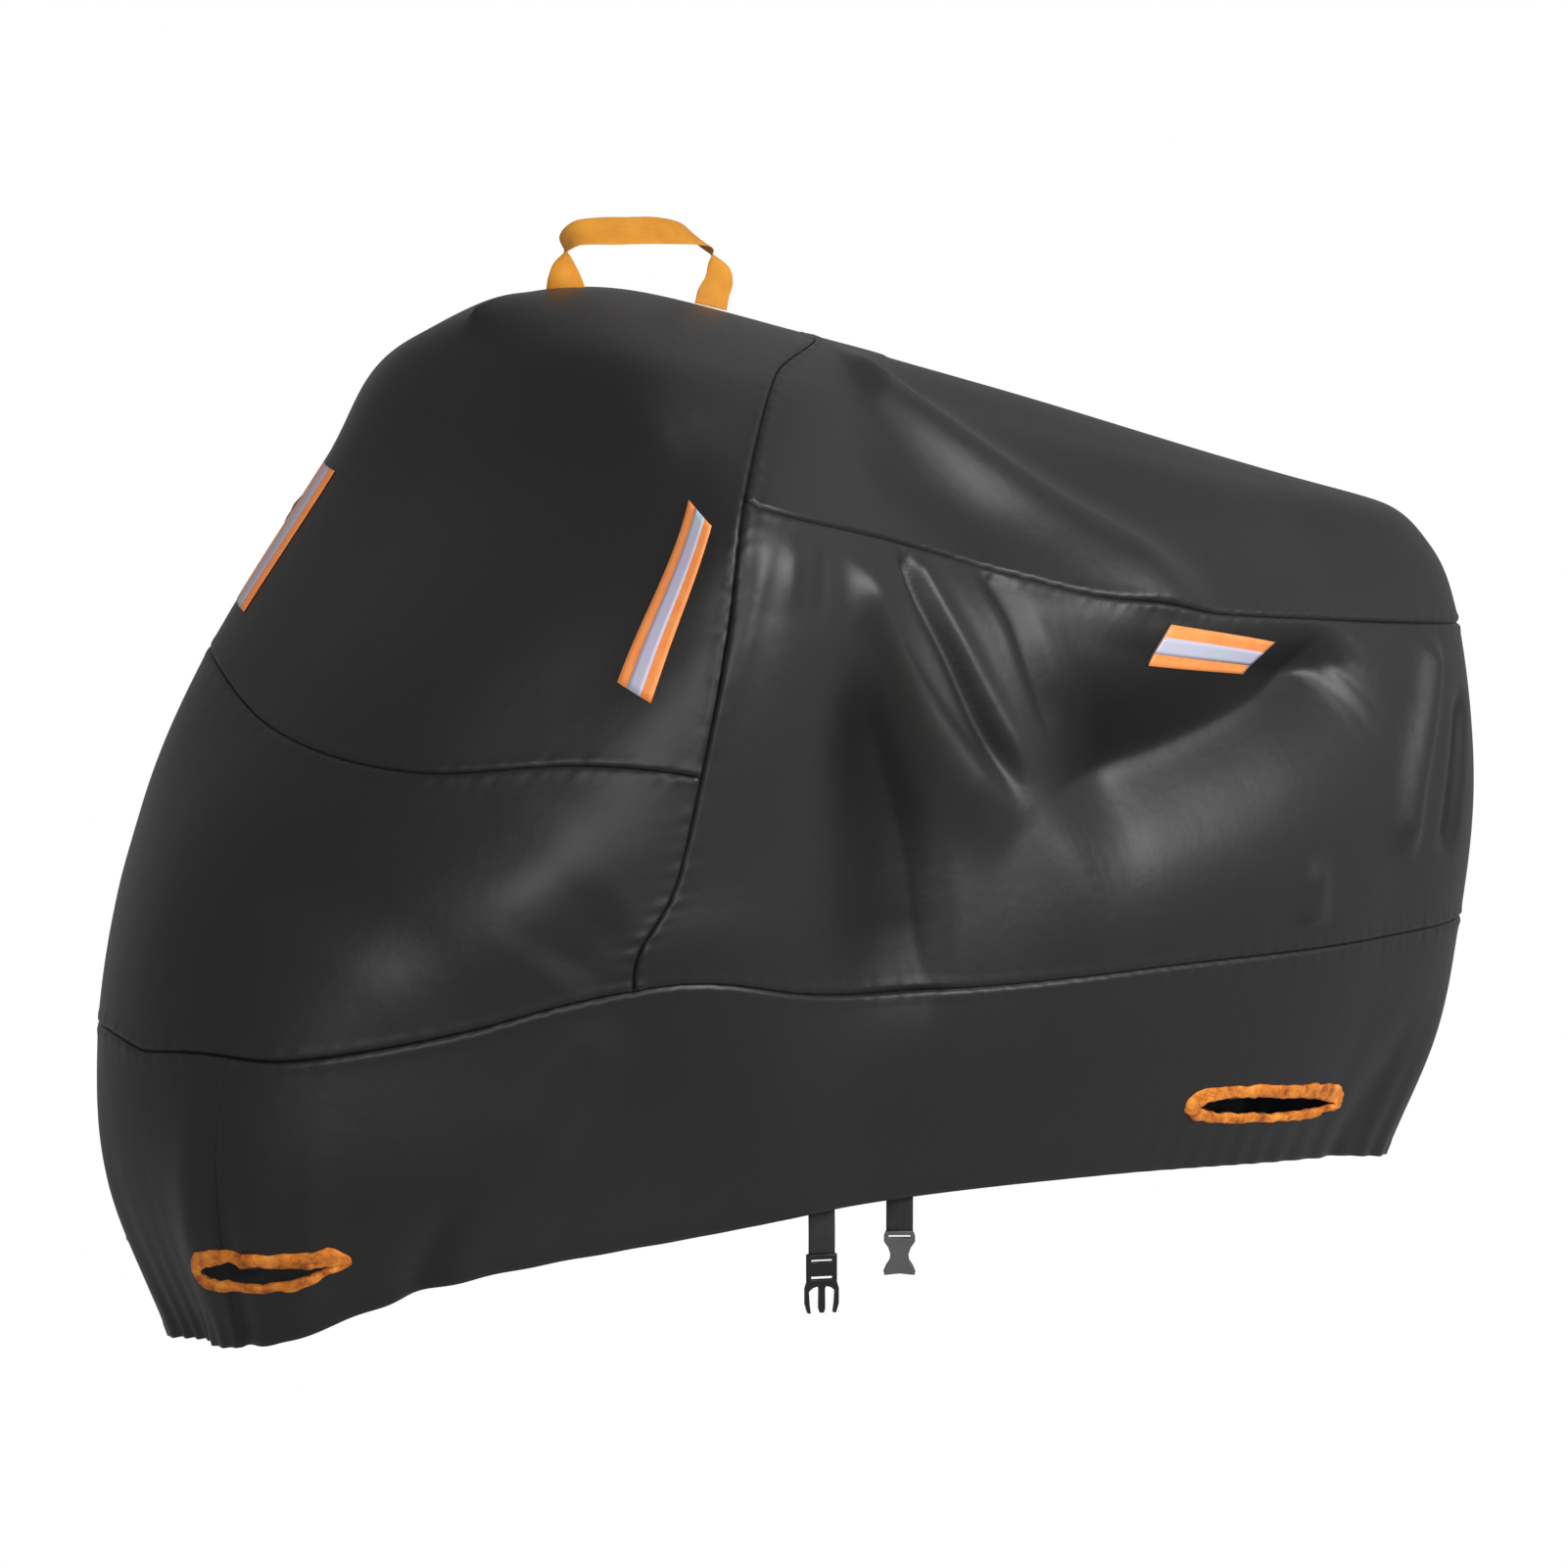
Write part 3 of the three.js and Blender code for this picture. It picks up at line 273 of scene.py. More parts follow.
# Surface of the cloth.

def weights(t, a, b, c):
    """Weights of four neighbours for a place t between the middle two, where a, b and c are the gaps."""
    t2 = t * t
    t3 = t2 * t
    leave = t3 - 2 * t2 + t
    arrive = t3 - t2
    first = 2 * t3 - 3 * t2 + 1
    return [
        -leave * b * b / (a * (a + b)),
        first + leave * (b - a) / a - arrive * c / (b + c),
        1 - first + leave * a / (a + b) + arrive * (c - b) / c,
        arrive * b * b / (c * (b + c)),
    ]


def make_rings():
    """The control points: a ring for each level, with one more below the hem and one above the ridge."""
    rings = []
    for level, row in LEVELS.items():
        ring = []
        for k in range(ROUND):
            station = STATIONS[min(k, ROUND - k)]
            x, half, z = row[station]
            if k > HALF:
                x, half, z = np.add(row[station], FAR_SIDE.get(level, {}).get(station, [0, 0, 0]))
            y = half if k > HALF else -half
            ring.append([x - TURNS[level] * TURN_SHARES.get(station, 0) * y, y, z])
        rings.append(ring)
    rings = np.array(rings, float)
    below = 2 * rings[0] - rings[1]
    crown, ridge = rings[-2], rings[-1]
    above = crown[(ROUND - np.arange(ROUND)) % ROUND].copy()
    for end, inner in ((0, 1), (HALF, HALF - 1)):
        above[end] = ridge[end] + END_REACH * (ridge[inner] - ridge[end]) + END_RISE * (ridge[end] - crown[end])
    return np.concatenate([below[None], rings, above[None]])


RINGS = make_rings()


def smooth(u, v):
    """The smooth cover without folds, at ring places u and level places v."""
    i = np.floor(u).astype(int)
    j = np.clip(np.floor(v).astype(int), 0, TOP - 1)
    across = weights(u - i, *[RING_STEPS[(i + n) % ROUND] for n in (-1, 0, 1)])
    up = weights(v - j, *[LEVEL_STEPS[j + n] for n in (0, 1, 2)])
    points = np.zeros(u.shape + (3,))
    for b in range(4):
        for a in range(4):
            points += (across[a] * up[b])[..., None] * RINGS[j + b, (i + a - 1) % ROUND]
    return points


def smoothstep(low, high, value):
    t = np.clip((value - low) / (high - low), 0, 1)
    return t * t * (3 - 2 * t)


def spline(points, count):
    """An open smooth curve through points."""
    points = np.asarray(points, float)
    padded = np.concatenate([[2 * points[0] - points[1]], points, [2 * points[-1] - points[-2]]])
    t = np.linspace(0, len(points) - 1, count)
    i = np.minimum(t.astype(int), len(points) - 2)
    f = (t - i)[:, None]
    p = [padded[i + k] for k in range(4)]
    return 0.5 * (2 * p[1] + (p[2] - p[0]) * f + (2 * p[0] - 5 * p[1] + 4 * p[2] - p[3]) * f**2
                  + (3 * p[1] - p[0] - 3 * p[2] + p[3]) * f**3)


PATHS = [spline(fold["line"], 4 * len(fold["line"]) - 3) for fold in FOLDS]
REACH = 3.2  # widths beyond which a fold is left out
ARC_EDGE = (-14, 6)  # distances from a line over which the painted shade above it ends
BLUNT = 0.1  # roundness of a sharp fold's top, in widths


def nearest(path, x, z):
    """Signed distance from points of the side view to a path, and the share of its length at the nearest place."""
    steps = np.diff(path, axis=0)
    lengths = np.linalg.norm(steps, axis=1)
    best = np.full(x.shape, np.inf)
    off, along = np.zeros(x.shape), np.zeros(x.shape)
    done = 0.0
    for start, step, length in zip(path, steps, lengths):
        dx, dz = x - start[0], z - start[1]
        t = np.clip((dx * step[0] + dz * step[1]) / length**2, 0, 1)
        gap = (dx - t * step[0])**2 + (dz - t * step[1])**2
        side = np.where(step[0] * dz > step[1] * dx, 1, -1)
        nearer = gap < best
        best = np.where(nearer, gap, best)
        off = np.where(nearer, side * np.sqrt(gap), off)
        along = np.where(nearer, (done + t * length) / lengths.sum(), along)
        done += length
    return off, along


def fold_height(fold, path, x, z, above=False):
    """Height of one fold at points of the side view, or, for the painted shade, only above its line."""
    reach = REACH * max(fold["left"], fold["right"])
    low, high = path.min(axis=0) - reach, path.max(axis=0) + reach
    inside = (x > low[0]) & (x < high[0]) & (z > low[1]) & (z < high[1])
    height = np.zeros(x.shape)
    if not inside.any():
        return height
    off, t = nearest(path, x[inside], z[inside])
    width = np.where(off > 0, fold["left"], fold["right"]) * (fold["pinch"] + (1 - fold["pinch"]) * t)
    start, end = fold["fades"]
    ends = smoothstep(0, start, t) * (1 - smoothstep(1 - end, 1, t))
    if above:
        ends = ends * (1 - smoothstep(*ARC_EDGE, off))
    far = np.sqrt((off / width)**2 + BLUNT**2) - BLUNT
    height[inside] = fold["height"] * ends * np.exp(-far**fold.get("power", 2))
    return height


def under_tape(u, v):
    """How much a place lies under a tape, which keeps the cloth smooth as far as its margin."""
    most = np.zeros(u.shape)
    for corners in TAPES.values():
        share = 1
        for k, (value, steps) in enumerate(((u % ROUND, RING_STEPS), (v, LEVEL_STEPS[1:]))):
            values = [corner[k] for corner in corners]
            low, high = min(values), max(values)
            gap = steps[int(low)]
            share = share * (1 - smoothstep(0, TAPE_MARGIN, np.maximum(low - value, value - high) * gap))
        most = np.maximum(most, share)
    return most


def relief(u, v, points, shade=False):
    """How far the folds lift the cloth at its smooth points, or, with shade, how deep they sink it for the painted
    shade, where broad folds count only above their line.
    """
    x, y, z = np.moveaxis(points, -1, 0)
    near = 1 - smoothstep(-BLEND, BLEND, y)
    total, broad = np.zeros(u.shape), np.zeros(u.shape)
    seam = belt_seam(u % ROUND)
    for fold, path in zip(FOLDS, PATHS):
        above = shade and "broad" in fold
        height = (near * fold_height(fold, path, x, z, above)
                  + (1 - near) * FAR_SHARE * fold_height(fold, path, x - FAR_SHIFT, z, above))
        if "under" in fold:
            height = height * (1 - smoothstep(seam - fold["under"], seam, v))
        if fold.get("broad"):
            broad += height
        else:
            total += height
    for gather in GATHERS:
        off = (u % ROUND - gather["at"] - gather["lean"] * v) / gather["width"]
        fade = 1 - smoothstep(0.3 * gather["top"], gather["top"], v)
        total += gather["height"] * fade * np.exp(-off * off)
    return (broad + total * (1 - under_tape(u, v))) * (1 - smoothstep(TOP - 0.6, TOP - 0.1, v))


def normals_of(surface, u, v):
    """Outward normals of a surface function. At the ridge, both sides share their mean."""
    step = 0.01

    def one_side(u):
        low = np.clip(v - step, 0, TOP - 3 * step)
        high = np.clip(v + step, 2 * step, TOP - step)
        inner = np.minimum(v, TOP - step)
        along = surface(u + step, inner) - surface(u - step, inner)
        n = np.cross(along, surface(u, high) - surface(u, low))
        return n / np.linalg.norm(n, axis=-1, keepdims=True)

    n = one_side(u)
    ridge = v > TOP - 0.02
    if ridge.any():
        both = n + one_side(ROUND - u)
        n = np.where(ridge[..., None], both / np.linalg.norm(both, axis=-1, keepdims=True), n)
    return n


def grid_normals(u, v, points):
    """Normals of a grid of folded points, from the function itself along its rim, so that panels meet there."""
    n = np.cross(np.gradient(points, axis=1), np.gradient(points, axis=0))
    n /= np.linalg.norm(n, axis=-1, keepdims=True) + TINY
    for rim in (np.s_[:1], np.s_[-1:], np.s_[:, :1], np.s_[:, -1:]):
        n[rim] = normals_of(folded, u[rim], v[rim])
    return n


def folded(u, v):
    points = smooth(u, v)
    return points + normals_of(smooth, u, v) * relief(u, v, points)[..., None]


def between(values, place):
    """A smooth value between stations, from a list with one value for each."""
    values = np.asarray(values, float)
    place = np.clip(place, 0, len(values) - 1)
    i = np.minimum(place.astype(int), len(values) - 2)
    slopes = np.gradient(values)
    t = place - i
    t2, t3 = t * t, t * t * t
    return ((2 * t3 - 3 * t2 + 1) * values[i] + (t3 - 2 * t2 + t) * slopes[i]
            + (3 * t2 - 2 * t3) * values[i + 1] + (t3 - t2) * slopes[i + 1])


def skirt_seam(u):
    place = u % ROUND
    return between(SKIRT_SEAM, 2 * np.where(place > HALF, ROUND - place, place))


def belt_seam(u):
    return between(BELT_SEAM, np.where(u > HALF, ROUND - u, u) - BAR)


def hood_seam(u):
    return between(HOOD_SEAM, BAR - u)


def ridge_line(u):
    return np.full(u.shape, float(TOP))


def hem_line(u):
    return np.zeros(u.shape)


# Building blocks.

def to_metres(points):
    return (points - ORIGIN) * MM


def make_object(name, vertices, faces, material):
    mesh = bpy.data.meshes.new(name)
    mesh.from_pydata([tuple(p) for p in vertices], [], [tuple(f) for f in faces])
    mesh.update()
    mesh.polygons.foreach_set("use_smooth", [True] * len(mesh.polygons))
    piece = bpy.data.objects.new(name, mesh)
    bpy.context.scene.collection.objects.link(piece)
    mesh.materials.append(material)
    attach(piece, "root")
    return piece


def grid_faces(rows, columns, wrap=False):
    """Faces of a grid of points, row by row, closed along its columns where it wraps."""
    r = np.arange(rows - 1)[:, None]
    c = np.arange(columns if wrap else columns - 1)[None, :]
    n = (c + 1) % columns
    corners = [r * columns + c, r * columns + n, (r + 1) * columns + n, (r + 1) * columns + c]
    return np.stack([np.broadcast_to(k, (rows - 1, c.shape[1])) for k in corners], -1).reshape(-1, 4)


def add_uv(piece, coordinates):
    """Gives a mesh the cloth's own coordinates in metres, one pair for each point."""
    mesh = piece.data
    layer = mesh.uv_layers.new(name="cloth")
    index = np.empty(len(mesh.loops), int)
    mesh.loops.foreach_get("vertex_index", index)
    layer.data.foreach_set("uv", np.asarray(coordinates)[index].astype(np.float32).ravel())


def add_value(piece, name, values):
    attribute = piece.data.attributes.new(name, "FLOAT", "POINT")
    attribute.data.foreach_set("value", np.asarray(values, np.float32).ravel())


def thicken(piece, thickness, offset=-1):
    solid = piece.modifiers.new("thickness", "SOLIDIFY")
    solid.thickness = thickness * MM
    solid.offset = offset
    solid.use_quality_normals = True
    return solid


def arcs(points, axis):
    """Lengths along a grid from its first row or column."""
    steps = np.linalg.norm(np.diff(points, axis=axis), axis=-1)
    zero = np.zeros_like(np.take(steps, [0], axis=axis))
    return np.concatenate([zero, np.cumsum(steps, axis=axis)], axis=axis)


# Materials.

def new_material(name, roughness, colour, sheen=0.0, specular=0.5):
    material = bpy.data.materials.new(name)
    material.use_nodes = True
    shader = material.node_tree.nodes["Principled BSDF"]
    shader.inputs["Base Color"].default_value = (*colour, 1)
    shader.inputs["Roughness"].default_value = roughness
    shader.inputs["Specular IOR Level"].default_value = specular
    shader.inputs["Sheen Weight"].default_value = sheen
    shader.inputs["Sheen Roughness"].default_value = 0.45
    return material, shader


class Graph:
    """Short names for adding nodes to a material."""

    def __init__(self, material):
        self.tree = material.node_tree
        self.shader = self.tree.nodes["Principled BSDF"]

    def add(self, kind, **settings):
        node = self.tree.nodes.new(kind)
        for key, value in settings.items():
            setattr(node, key, value)
        return node

    def link(self, source, target):
        self.tree.links.new(source, target)

    def noise(self, source, scale, detail=3.0, roughness=0.55):
        node = self.add("ShaderNodeTexNoise")
        node.inputs["Scale"].default_value = scale
        node.inputs["Detail"].default_value = detail
        node.inputs["Roughness"].default_value = roughness
        self.link(source, node.inputs["Vector"])
        return node.outputs["Fac"]

    def wave(self, source, pitch, direction):
        """Threads at a pitch in metres."""
        node = self.add("ShaderNodeTexWave", wave_type="BANDS", bands_direction=direction)
        node.inputs["Scale"].default_value = 2 * math.pi / pitch / 20
        self.link(source, node.inputs["Vector"])
        return node.outputs["Fac"]

    def ramp(self, source, stops):
        node = self.add("ShaderNodeValToRGB")
        ramp = node.color_ramp
        ramp.elements[0].position = stops[0][0]
        ramp.elements[0].color = (*stops[0][1], 1)
        ramp.elements[1].position = stops[-1][0]
        ramp.elements[1].color = (*stops[-1][1], 1)
        for place, colour in stops[1:-1]:
            ramp.elements.new(place).color = (*colour, 1)
        self.link(source, node.inputs["Fac"])
        return node.outputs["Color"]

    def math(self, operation, a, b):
        node = self.add("ShaderNodeMath", operation=operation)
        for k, value in enumerate((a, b)):
            if isinstance(value, (int, float)):
                node.inputs[k].default_value = value
            else:
                self.link(value, node.inputs[k])
        return node.outputs[0]

    def mix(self, share, a, b, blend="MIX"):
        node = self.add("ShaderNodeMix", data_type="RGBA", blend_type=blend)
        for key, value in ((0, share), (6, a), (7, b)):
            if isinstance(value, (int, float)):
                node.inputs[key].default_value = value
            elif isinstance(value, tuple):
                node.inputs[key].default_value = (*value, 1)
            else:
                self.link(value, node.inputs[key])
        return node.outputs[2]

    def bump(self, height, distance, strength=1.0, normal=None):
        node = self.add("ShaderNodeBump")
        node.inputs["Distance"].default_value = distance
        node.inputs["Strength"].default_value = strength
        self.link(height, node.inputs["Height"])
        if normal is not None:
            self.link(normal, node.inputs["Normal"])
        return node.outputs["Normal"]

    def object_place(self):
        return self.add("ShaderNodeTexCoord").outputs["Object"]

    def cloth_place(self):
        return self.add("ShaderNodeUVMap", uv_map="cloth").outputs["UV"]

    def weave(self, pitch):
        """Height of a plain weave in the cloth's own coordinates."""
        place = self.cloth_place()
        warp = self.wave(place, pitch, "X")
        weft = self.wave(place, pitch, "Y")
        return self.math("MAXIMUM", warp, weft)


CLOTH_BASE = (0.0095, 0.0095, 0.0098)
CLOTH_WARM = (0.0115, 0.0112, 0.0103)
CLOTH_COOL = (0.0092, 0.0095, 0.0107)
# Colour along the seams: partly dark thread, partly painted shade in their grooves.
SEAM_THREAD_AND_SHADE = (0.0025, 0.0025, 0.0028)
# Painted shade and highlight of the cloth, from its highest places at 0 to its deepest folds at 1. Its colour is
# lightened on the crests and darkened in the folds, and its shine is dimmed in the deep folds.
PAINTED_FOLD_SHADE_TONES = [(0.0, 1.3), (0.5, 1.0), (0.75, 0.5), (1.0, 0.3)]
PAINTED_FOLD_SHINE = [(0.0, 0.5), (0.5, 0.5), (0.8, 0.26), (1.0, 0.16)]


def greys(stops):
    return [(place, (level, level, level)) for place, level in stops]


def cloth_material():
    material, shader = new_material("cloth", 0.44, CLOTH_BASE, sheen=0.03, specular=1.0)
    graph = Graph(material)
    place = graph.object_place()
    tint = graph.ramp(graph.noise(place, 1.6, 2.0), [(0.35, CLOTH_WARM), (0.5, CLOTH_BASE), (0.65, CLOTH_COOL)])
    groove = graph.add("ShaderNodeAttribute", attribute_name="groove").outputs["Fac"]
    # Painted shade: the hollow value is how deep the folds sink the cloth. It darkens the colour and dims the shine in
    # the folds, and lightens the colour on the crests.
    hollow = graph.add("ShaderNodeAttribute", attribute_name="hollow").outputs["Fac"]
    share = graph.math("ADD", graph.math("MULTIPLY", hollow, 0.5), 0.5)
    shaded_tint = graph.mix(1.0, tint, graph.ramp(share, greys(PAINTED_FOLD_SHADE_TONES)), "MULTIPLY")
    graph.link(graph.ramp(share, greys(PAINTED_FOLD_SHINE)), shader.inputs["Specular Tint"])
    # Painted shade along the seams, with their dark thread: the colour goes near black in the grooves.
    graph.link(graph.mix(groove, shaded_tint, SEAM_THREAD_AND_SHADE), shader.inputs["Base Color"])
    soft = graph.bump(graph.noise(place, 16, 4.0), 0.0022, 0.5)
    crease = graph.bump(graph.noise(place, 55, 3.0), 0.0005, 0.5, soft)
    graph.link(graph.bump(graph.weave(0.0011), 0.00006, 0.6, crease), shader.inputs["Normal"])
    return material


def tape_material():
    material, shader = new_material("orange_tape", 0.38, (1.0, 0.31, 0.07), sheen=0.1)
    graph = Graph(material)
    tone = graph.noise(graph.object_place(), 60, 3.0)
    graph.link(graph.ramp(tone, [(0.3, (1.0, 0.27, 0.055)), (0.7, (1.0, 0.36, 0.1))]), shader.inputs["Base Color"])
    graph.link(graph.bump(graph.weave(0.0008), 0.00008, 0.7), shader.inputs["Normal"])
    # Painted glow: the tape gives off a little orange light of its own, though it is no lamp.
    shader.inputs["Emission Color"].default_value = (1.0, 0.3, 0.07, 1)
    shader.inputs["Emission Strength"].default_value = 0.12
    return material


def band_material():
    material, shader = new_material("silver_band", 0.34, (0.6, 0.6, 0.74), specular=0.6)
    graph = Graph(material)
    tone = graph.noise(graph.object_place(), 14, 2.0)
    graph.link(graph.ramp(tone, [(0.35, (0.56, 0.62, 0.72)), (0.65, (0.64, 0.56, 0.76))]),
               shader.inputs["Base Color"])
    beads = graph.noise(graph.object_place(), 2600, 1.0)
    graph.link(graph.bump(beads, 0.00006, 0.5), shader.inputs["Normal"])
    return material


def binding_material():
    material, shader = new_material("orange_binding", 0.78, (0.7, 0.22, 0.03), sheen=0.05)
    graph = Graph(material)
    place = graph.object_place()
    tone = graph.noise(place, 42, 5.0, 0.65)
    graph.link(graph.ramp(tone, [(0.36, (0.34, 0.075, 0.004)), (0.5, (0.78, 0.22, 0.015)), (0.66, (0.95, 0.36, 0.05))]),
               shader.inputs["Base Color"])
    rough = graph.bump(graph.noise(place, 110, 4.0, 0.6), 0.0022, 0.8)
    graph.link(graph.bump(graph.noise(place, 700, 2.0), 0.0005, 0.7, rough), shader.inputs["Normal"])
    return material


def webbing_material(name, dark, light, pitch=0.0022, roughness=0.7):
    """Webbing with ribs along and picks across, in the cloth's own coordinates."""
    material, shader = new_material(name, roughness, light, sheen=0.04)
    graph = Graph(material)
    place = graph.cloth_place()
    ribs = graph.wave(place, pitch, "X")
    picks = graph.wave(place, pitch * 0.55, "Y")
    height = graph.math("MULTIPLY", ribs, picks)
    tone = graph.noise(graph.object_place(), 30, 3.0)
    graph.link(graph.ramp(graph.math("ADD", graph.math("MULTIPLY", height, 0.45), graph.math("MULTIPLY", tone, 0.55)),
                          [(0.2, dark), (0.75, light)]), shader.inputs["Base Color"])
    graph.link(graph.bump(height, 0.0004, 0.7), shader.inputs["Normal"])
    return material


def plastic_material(name, colour, roughness):
    material, shader = new_material(name, roughness, colour)
    graph = Graph(material)
    place = graph.object_place()
    tone = graph.noise(place, 25, 2.0)
    dark = tuple(0.8 * c for c in colour)
    graph.link(graph.ramp(tone, [(0.3, dark), (0.7, colour)]), shader.inputs["Base Color"])
    graph.link(graph.bump(graph.noise(place, 900, 2.0), 0.0001, 0.35), shader.inputs["Normal"])
    return material


def rim_material(colour):
    material, shader = new_material("tape_rim", 0.6, colour, sheen=0.15)
    graph = Graph(material)
    tone = graph.noise(graph.object_place(), 400, 2.0)
    light = tuple(1.5 * c for c in colour)
    graph.link(graph.ramp(tone, [(0.3, colour), (0.7, light)]), shader.inputs["Base Color"])
    return material


def floor_material():
    """White as far as the horizon, with no shade of its own."""
    material, shader = new_material("floor", 0.8, (0.0, 0.0, 0.0), specular=0.0)
    shader.inputs["Emission Color"].default_value = (1, 1, 1, 1)
    shader.inputs["Emission Strength"].default_value = 1.0
    return material


MATERIALS = {
    "cloth": cloth_material(),
    "tape": tape_material(),
    "band": band_material(),
    "binding": binding_material(),
    "handle": webbing_material("orange_webbing", (0.7, 0.25, 0.012), (0.98, 0.44, 0.03), roughness=0.66),
    "strap": webbing_material("dark_webbing", (0.012, 0.012, 0.013), (0.04, 0.04, 0.042)),
    "black": plastic_material("black_plastic", (0.014, 0.014, 0.015), 0.28),
    "grey": plastic_material("grey_plastic", (0.13, 0.13, 0.135), 0.36),
    "rim": rim_material((0.006, 0.006, 0.006)),
}


# Panels.

def panel_shares(length, near_edge, far_edge):
    """Places from 0 to 1 along a stretch of some length in mm, with extra ones beside its sewn edges."""
    low = [k / length for k in EDGE_ROWS] if near_edge else [0.0]
    high = [1 - k / length for k in EDGE_ROWS] if far_edge else [1.0]
    count = max(2, int(round((high[-1] - low[-1]) * length / GRID)))
    inner = np.linspace(low[-1], high[-1], count + 1)[1:-1]
    return np.array([*low, *inner, *reversed(high)])


def panel_grid(start, end, lower, upper, sewn):
    """Ring and level places of a panel's points. sewn says which of its edges are seams."""
    middle = np.linspace(start, end, 60)
    rise = np.linspace(0, 1, 40)
    v = lower(middle)[None] + (upper(middle) - lower(middle))[None] * rise[:, None]
    rough = smooth(np.broadcast_to(middle, v.shape), v)
    height = float(arcs(rough, 0)[-1].max())
    along = arcs(rough, 1).max(axis=0)
    shares = panel_shares(along[-1], sewn["start"], sewn["end"])
    us = np.interp(shares * along[-1], along, middle)
    rows = panel_shares(height, sewn["lower"], sewn["upper"])
    u = np.broadcast_to(us, (len(rows), len(us))).copy()
    low, high = lower(u), upper(u)
    return u, low + (high - low) * rows[:, None]


def edge_relief(distance, along):
    """Groove, welt and puckers beside a seam, from the distance to it and the place along it."""
    groove = -GROOVE["depth"] * np.exp(-((distance / GROOVE["width"]) ** 2))
    welt = GROOVE["welt"] * np.exp(-(((distance - GROOVE["welt_at"]) / GROOVE["welt_width"]) ** 2))
    turn = 2 * math.pi * along / PUCKER["pitch"]
    wave = np.sin(turn) + 0.7 * np.sin(turn / 1.7 + 1)
    pucker = PUCKER["height"] * wave * np.exp(-distance / PUCKER["reach"]) * (1 - np.exp(-distance / 3))
    return groove + welt * (0.7 + 0.3 * wave) + pucker


def add_panel(name, start, end, lower, upper, sewn, hem=False, holes=()):
    """A panel of cloth between ring places and two seam lines. sewn says how bold its seam is along each edge."""
    u, v = panel_grid(start, end, lower, upper, sewn)
    points = folded(u, v)
    normals = grid_normals(u, v, points)
    rise, run = arcs(points, 0), arcs(points, 1)
    distances = {
        "lower": (rise, run), "upper": (rise[-1:] - rise, run),
        "start": (run, rise), "end": (run[:, -1:] - run, rise),
    }
    lift = np.zeros(u.shape)
    groove = np.zeros(u.shape)
    for edge, (distance, along) in distances.items():
        lift += sewn[edge] * edge_relief(distance, along)
        # Mask of the seam darkening: dark thread and painted shade in the groove.
        groove = np.maximum(groove, sewn[edge] * np.exp(-((distance / GROOVE["dark"]) ** 2)))
    if hem:
        fold = 1 - smoothstep(HEM["width"] - 2, HEM["width"] + 1, rise)
        ends = np.abs(((u % ROUND) / HALF) % 2 - 1)
        gathered = smoothstep(0.55, 0.95, np.maximum(ends, 1 - ends))
        turn = 2 * math.pi * np.interp(u % ROUND, np.arange(ROUND + 1), RING_TURNS)
        wave = np.sin(HEM["ruffles"] * turn + 2 * np.sin(HEM["ruffle_beats"] * turn))
        lift += HEM["lift"] * fold + HEM["ruffle"] * gathered * wave * np.exp(-rise / 70)
    points = points + normals * lift[..., None]
    rows, columns = u.shape
    faces = grid_faces(rows, columns)
    if holes:
        centres = (u[:-1, :-1] + u[1:, 1:]) / 2, (v[:-1, :-1] + v[1:, 1:]) / 2
        keep = ~np.any([in_slot(slot, *centres) for slot in holes], axis=0).ravel()
        faces = faces[keep]
    piece = make_object(name, to_metres(points).reshape(-1, 3), faces, MATERIALS["cloth"])
    add_uv(piece, np.stack([run, rise], -1).reshape(-1, 2) * MM)
    add_value(piece, "groove", groove)
    # Painted shade: how deep the folds sink the cloth here. The cloth material turns it into darker colour and less
    # shine in the folds, and lighter colour on the crests.
    add_value(piece, "hollow", np.clip(-relief(u, v, smooth(u, v), True) / PAINTED_SHADE_DEPTH, -1, 1))
    tidy_mesh(piece)
    thicken(piece, CLOTH_THICK)
    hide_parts(name)
    return piece


def tidy_mesh(piece):
    """Joins points that coincide and drops loose ones."""
    mesh = bmesh.new()
    mesh.from_mesh(piece.data)
    bmesh.ops.remove_doubles(mesh, verts=mesh.verts, dist=0.00005)
    loose = [v for v in mesh.verts if not v.link_faces]
    bmesh.ops.delete(mesh, geom=loose, context="VERTS")
    mesh.to_mesh(piece.data)
    mesh.free()


def slot_axes(slot):
    """A slot's middle, half of its way and half of its height, in ring and level places."""
    (u0, v0), (u1, v1) = slot["from"], slot["to"]
    return (u0 + u1) / 2, (v0 + v1) / 2, (u1 - u0) / 2, (v1 - v0) / 2, slot["height"] / 2 / LEVEL_GAPS[0]


def slot_place(slot, along, across):
    """Ring and level places from shares of half a slot's length and half its height."""
    um, vm, du, dv, rise = slot_axes(slot)
    return um + along * du, vm + along * dv + across * rise


CLOTH_HOLE = {"along": 0.84, "across": 0.45, "centre": -0.1}  # the cloth's own cut under the binding


def in_slot(slot, u, v):
    um, vm, du, dv, rise = slot_axes(slot)
    along = (u % ROUND - um) / du
    across = (v - vm - along * dv) / rise
    return (np.abs(along / CLOTH_HOLE["along"]) ** 4
            + np.abs((across - CLOTH_HOLE["centre"]) / CLOTH_HOLE["across"]) ** 4 < 1)


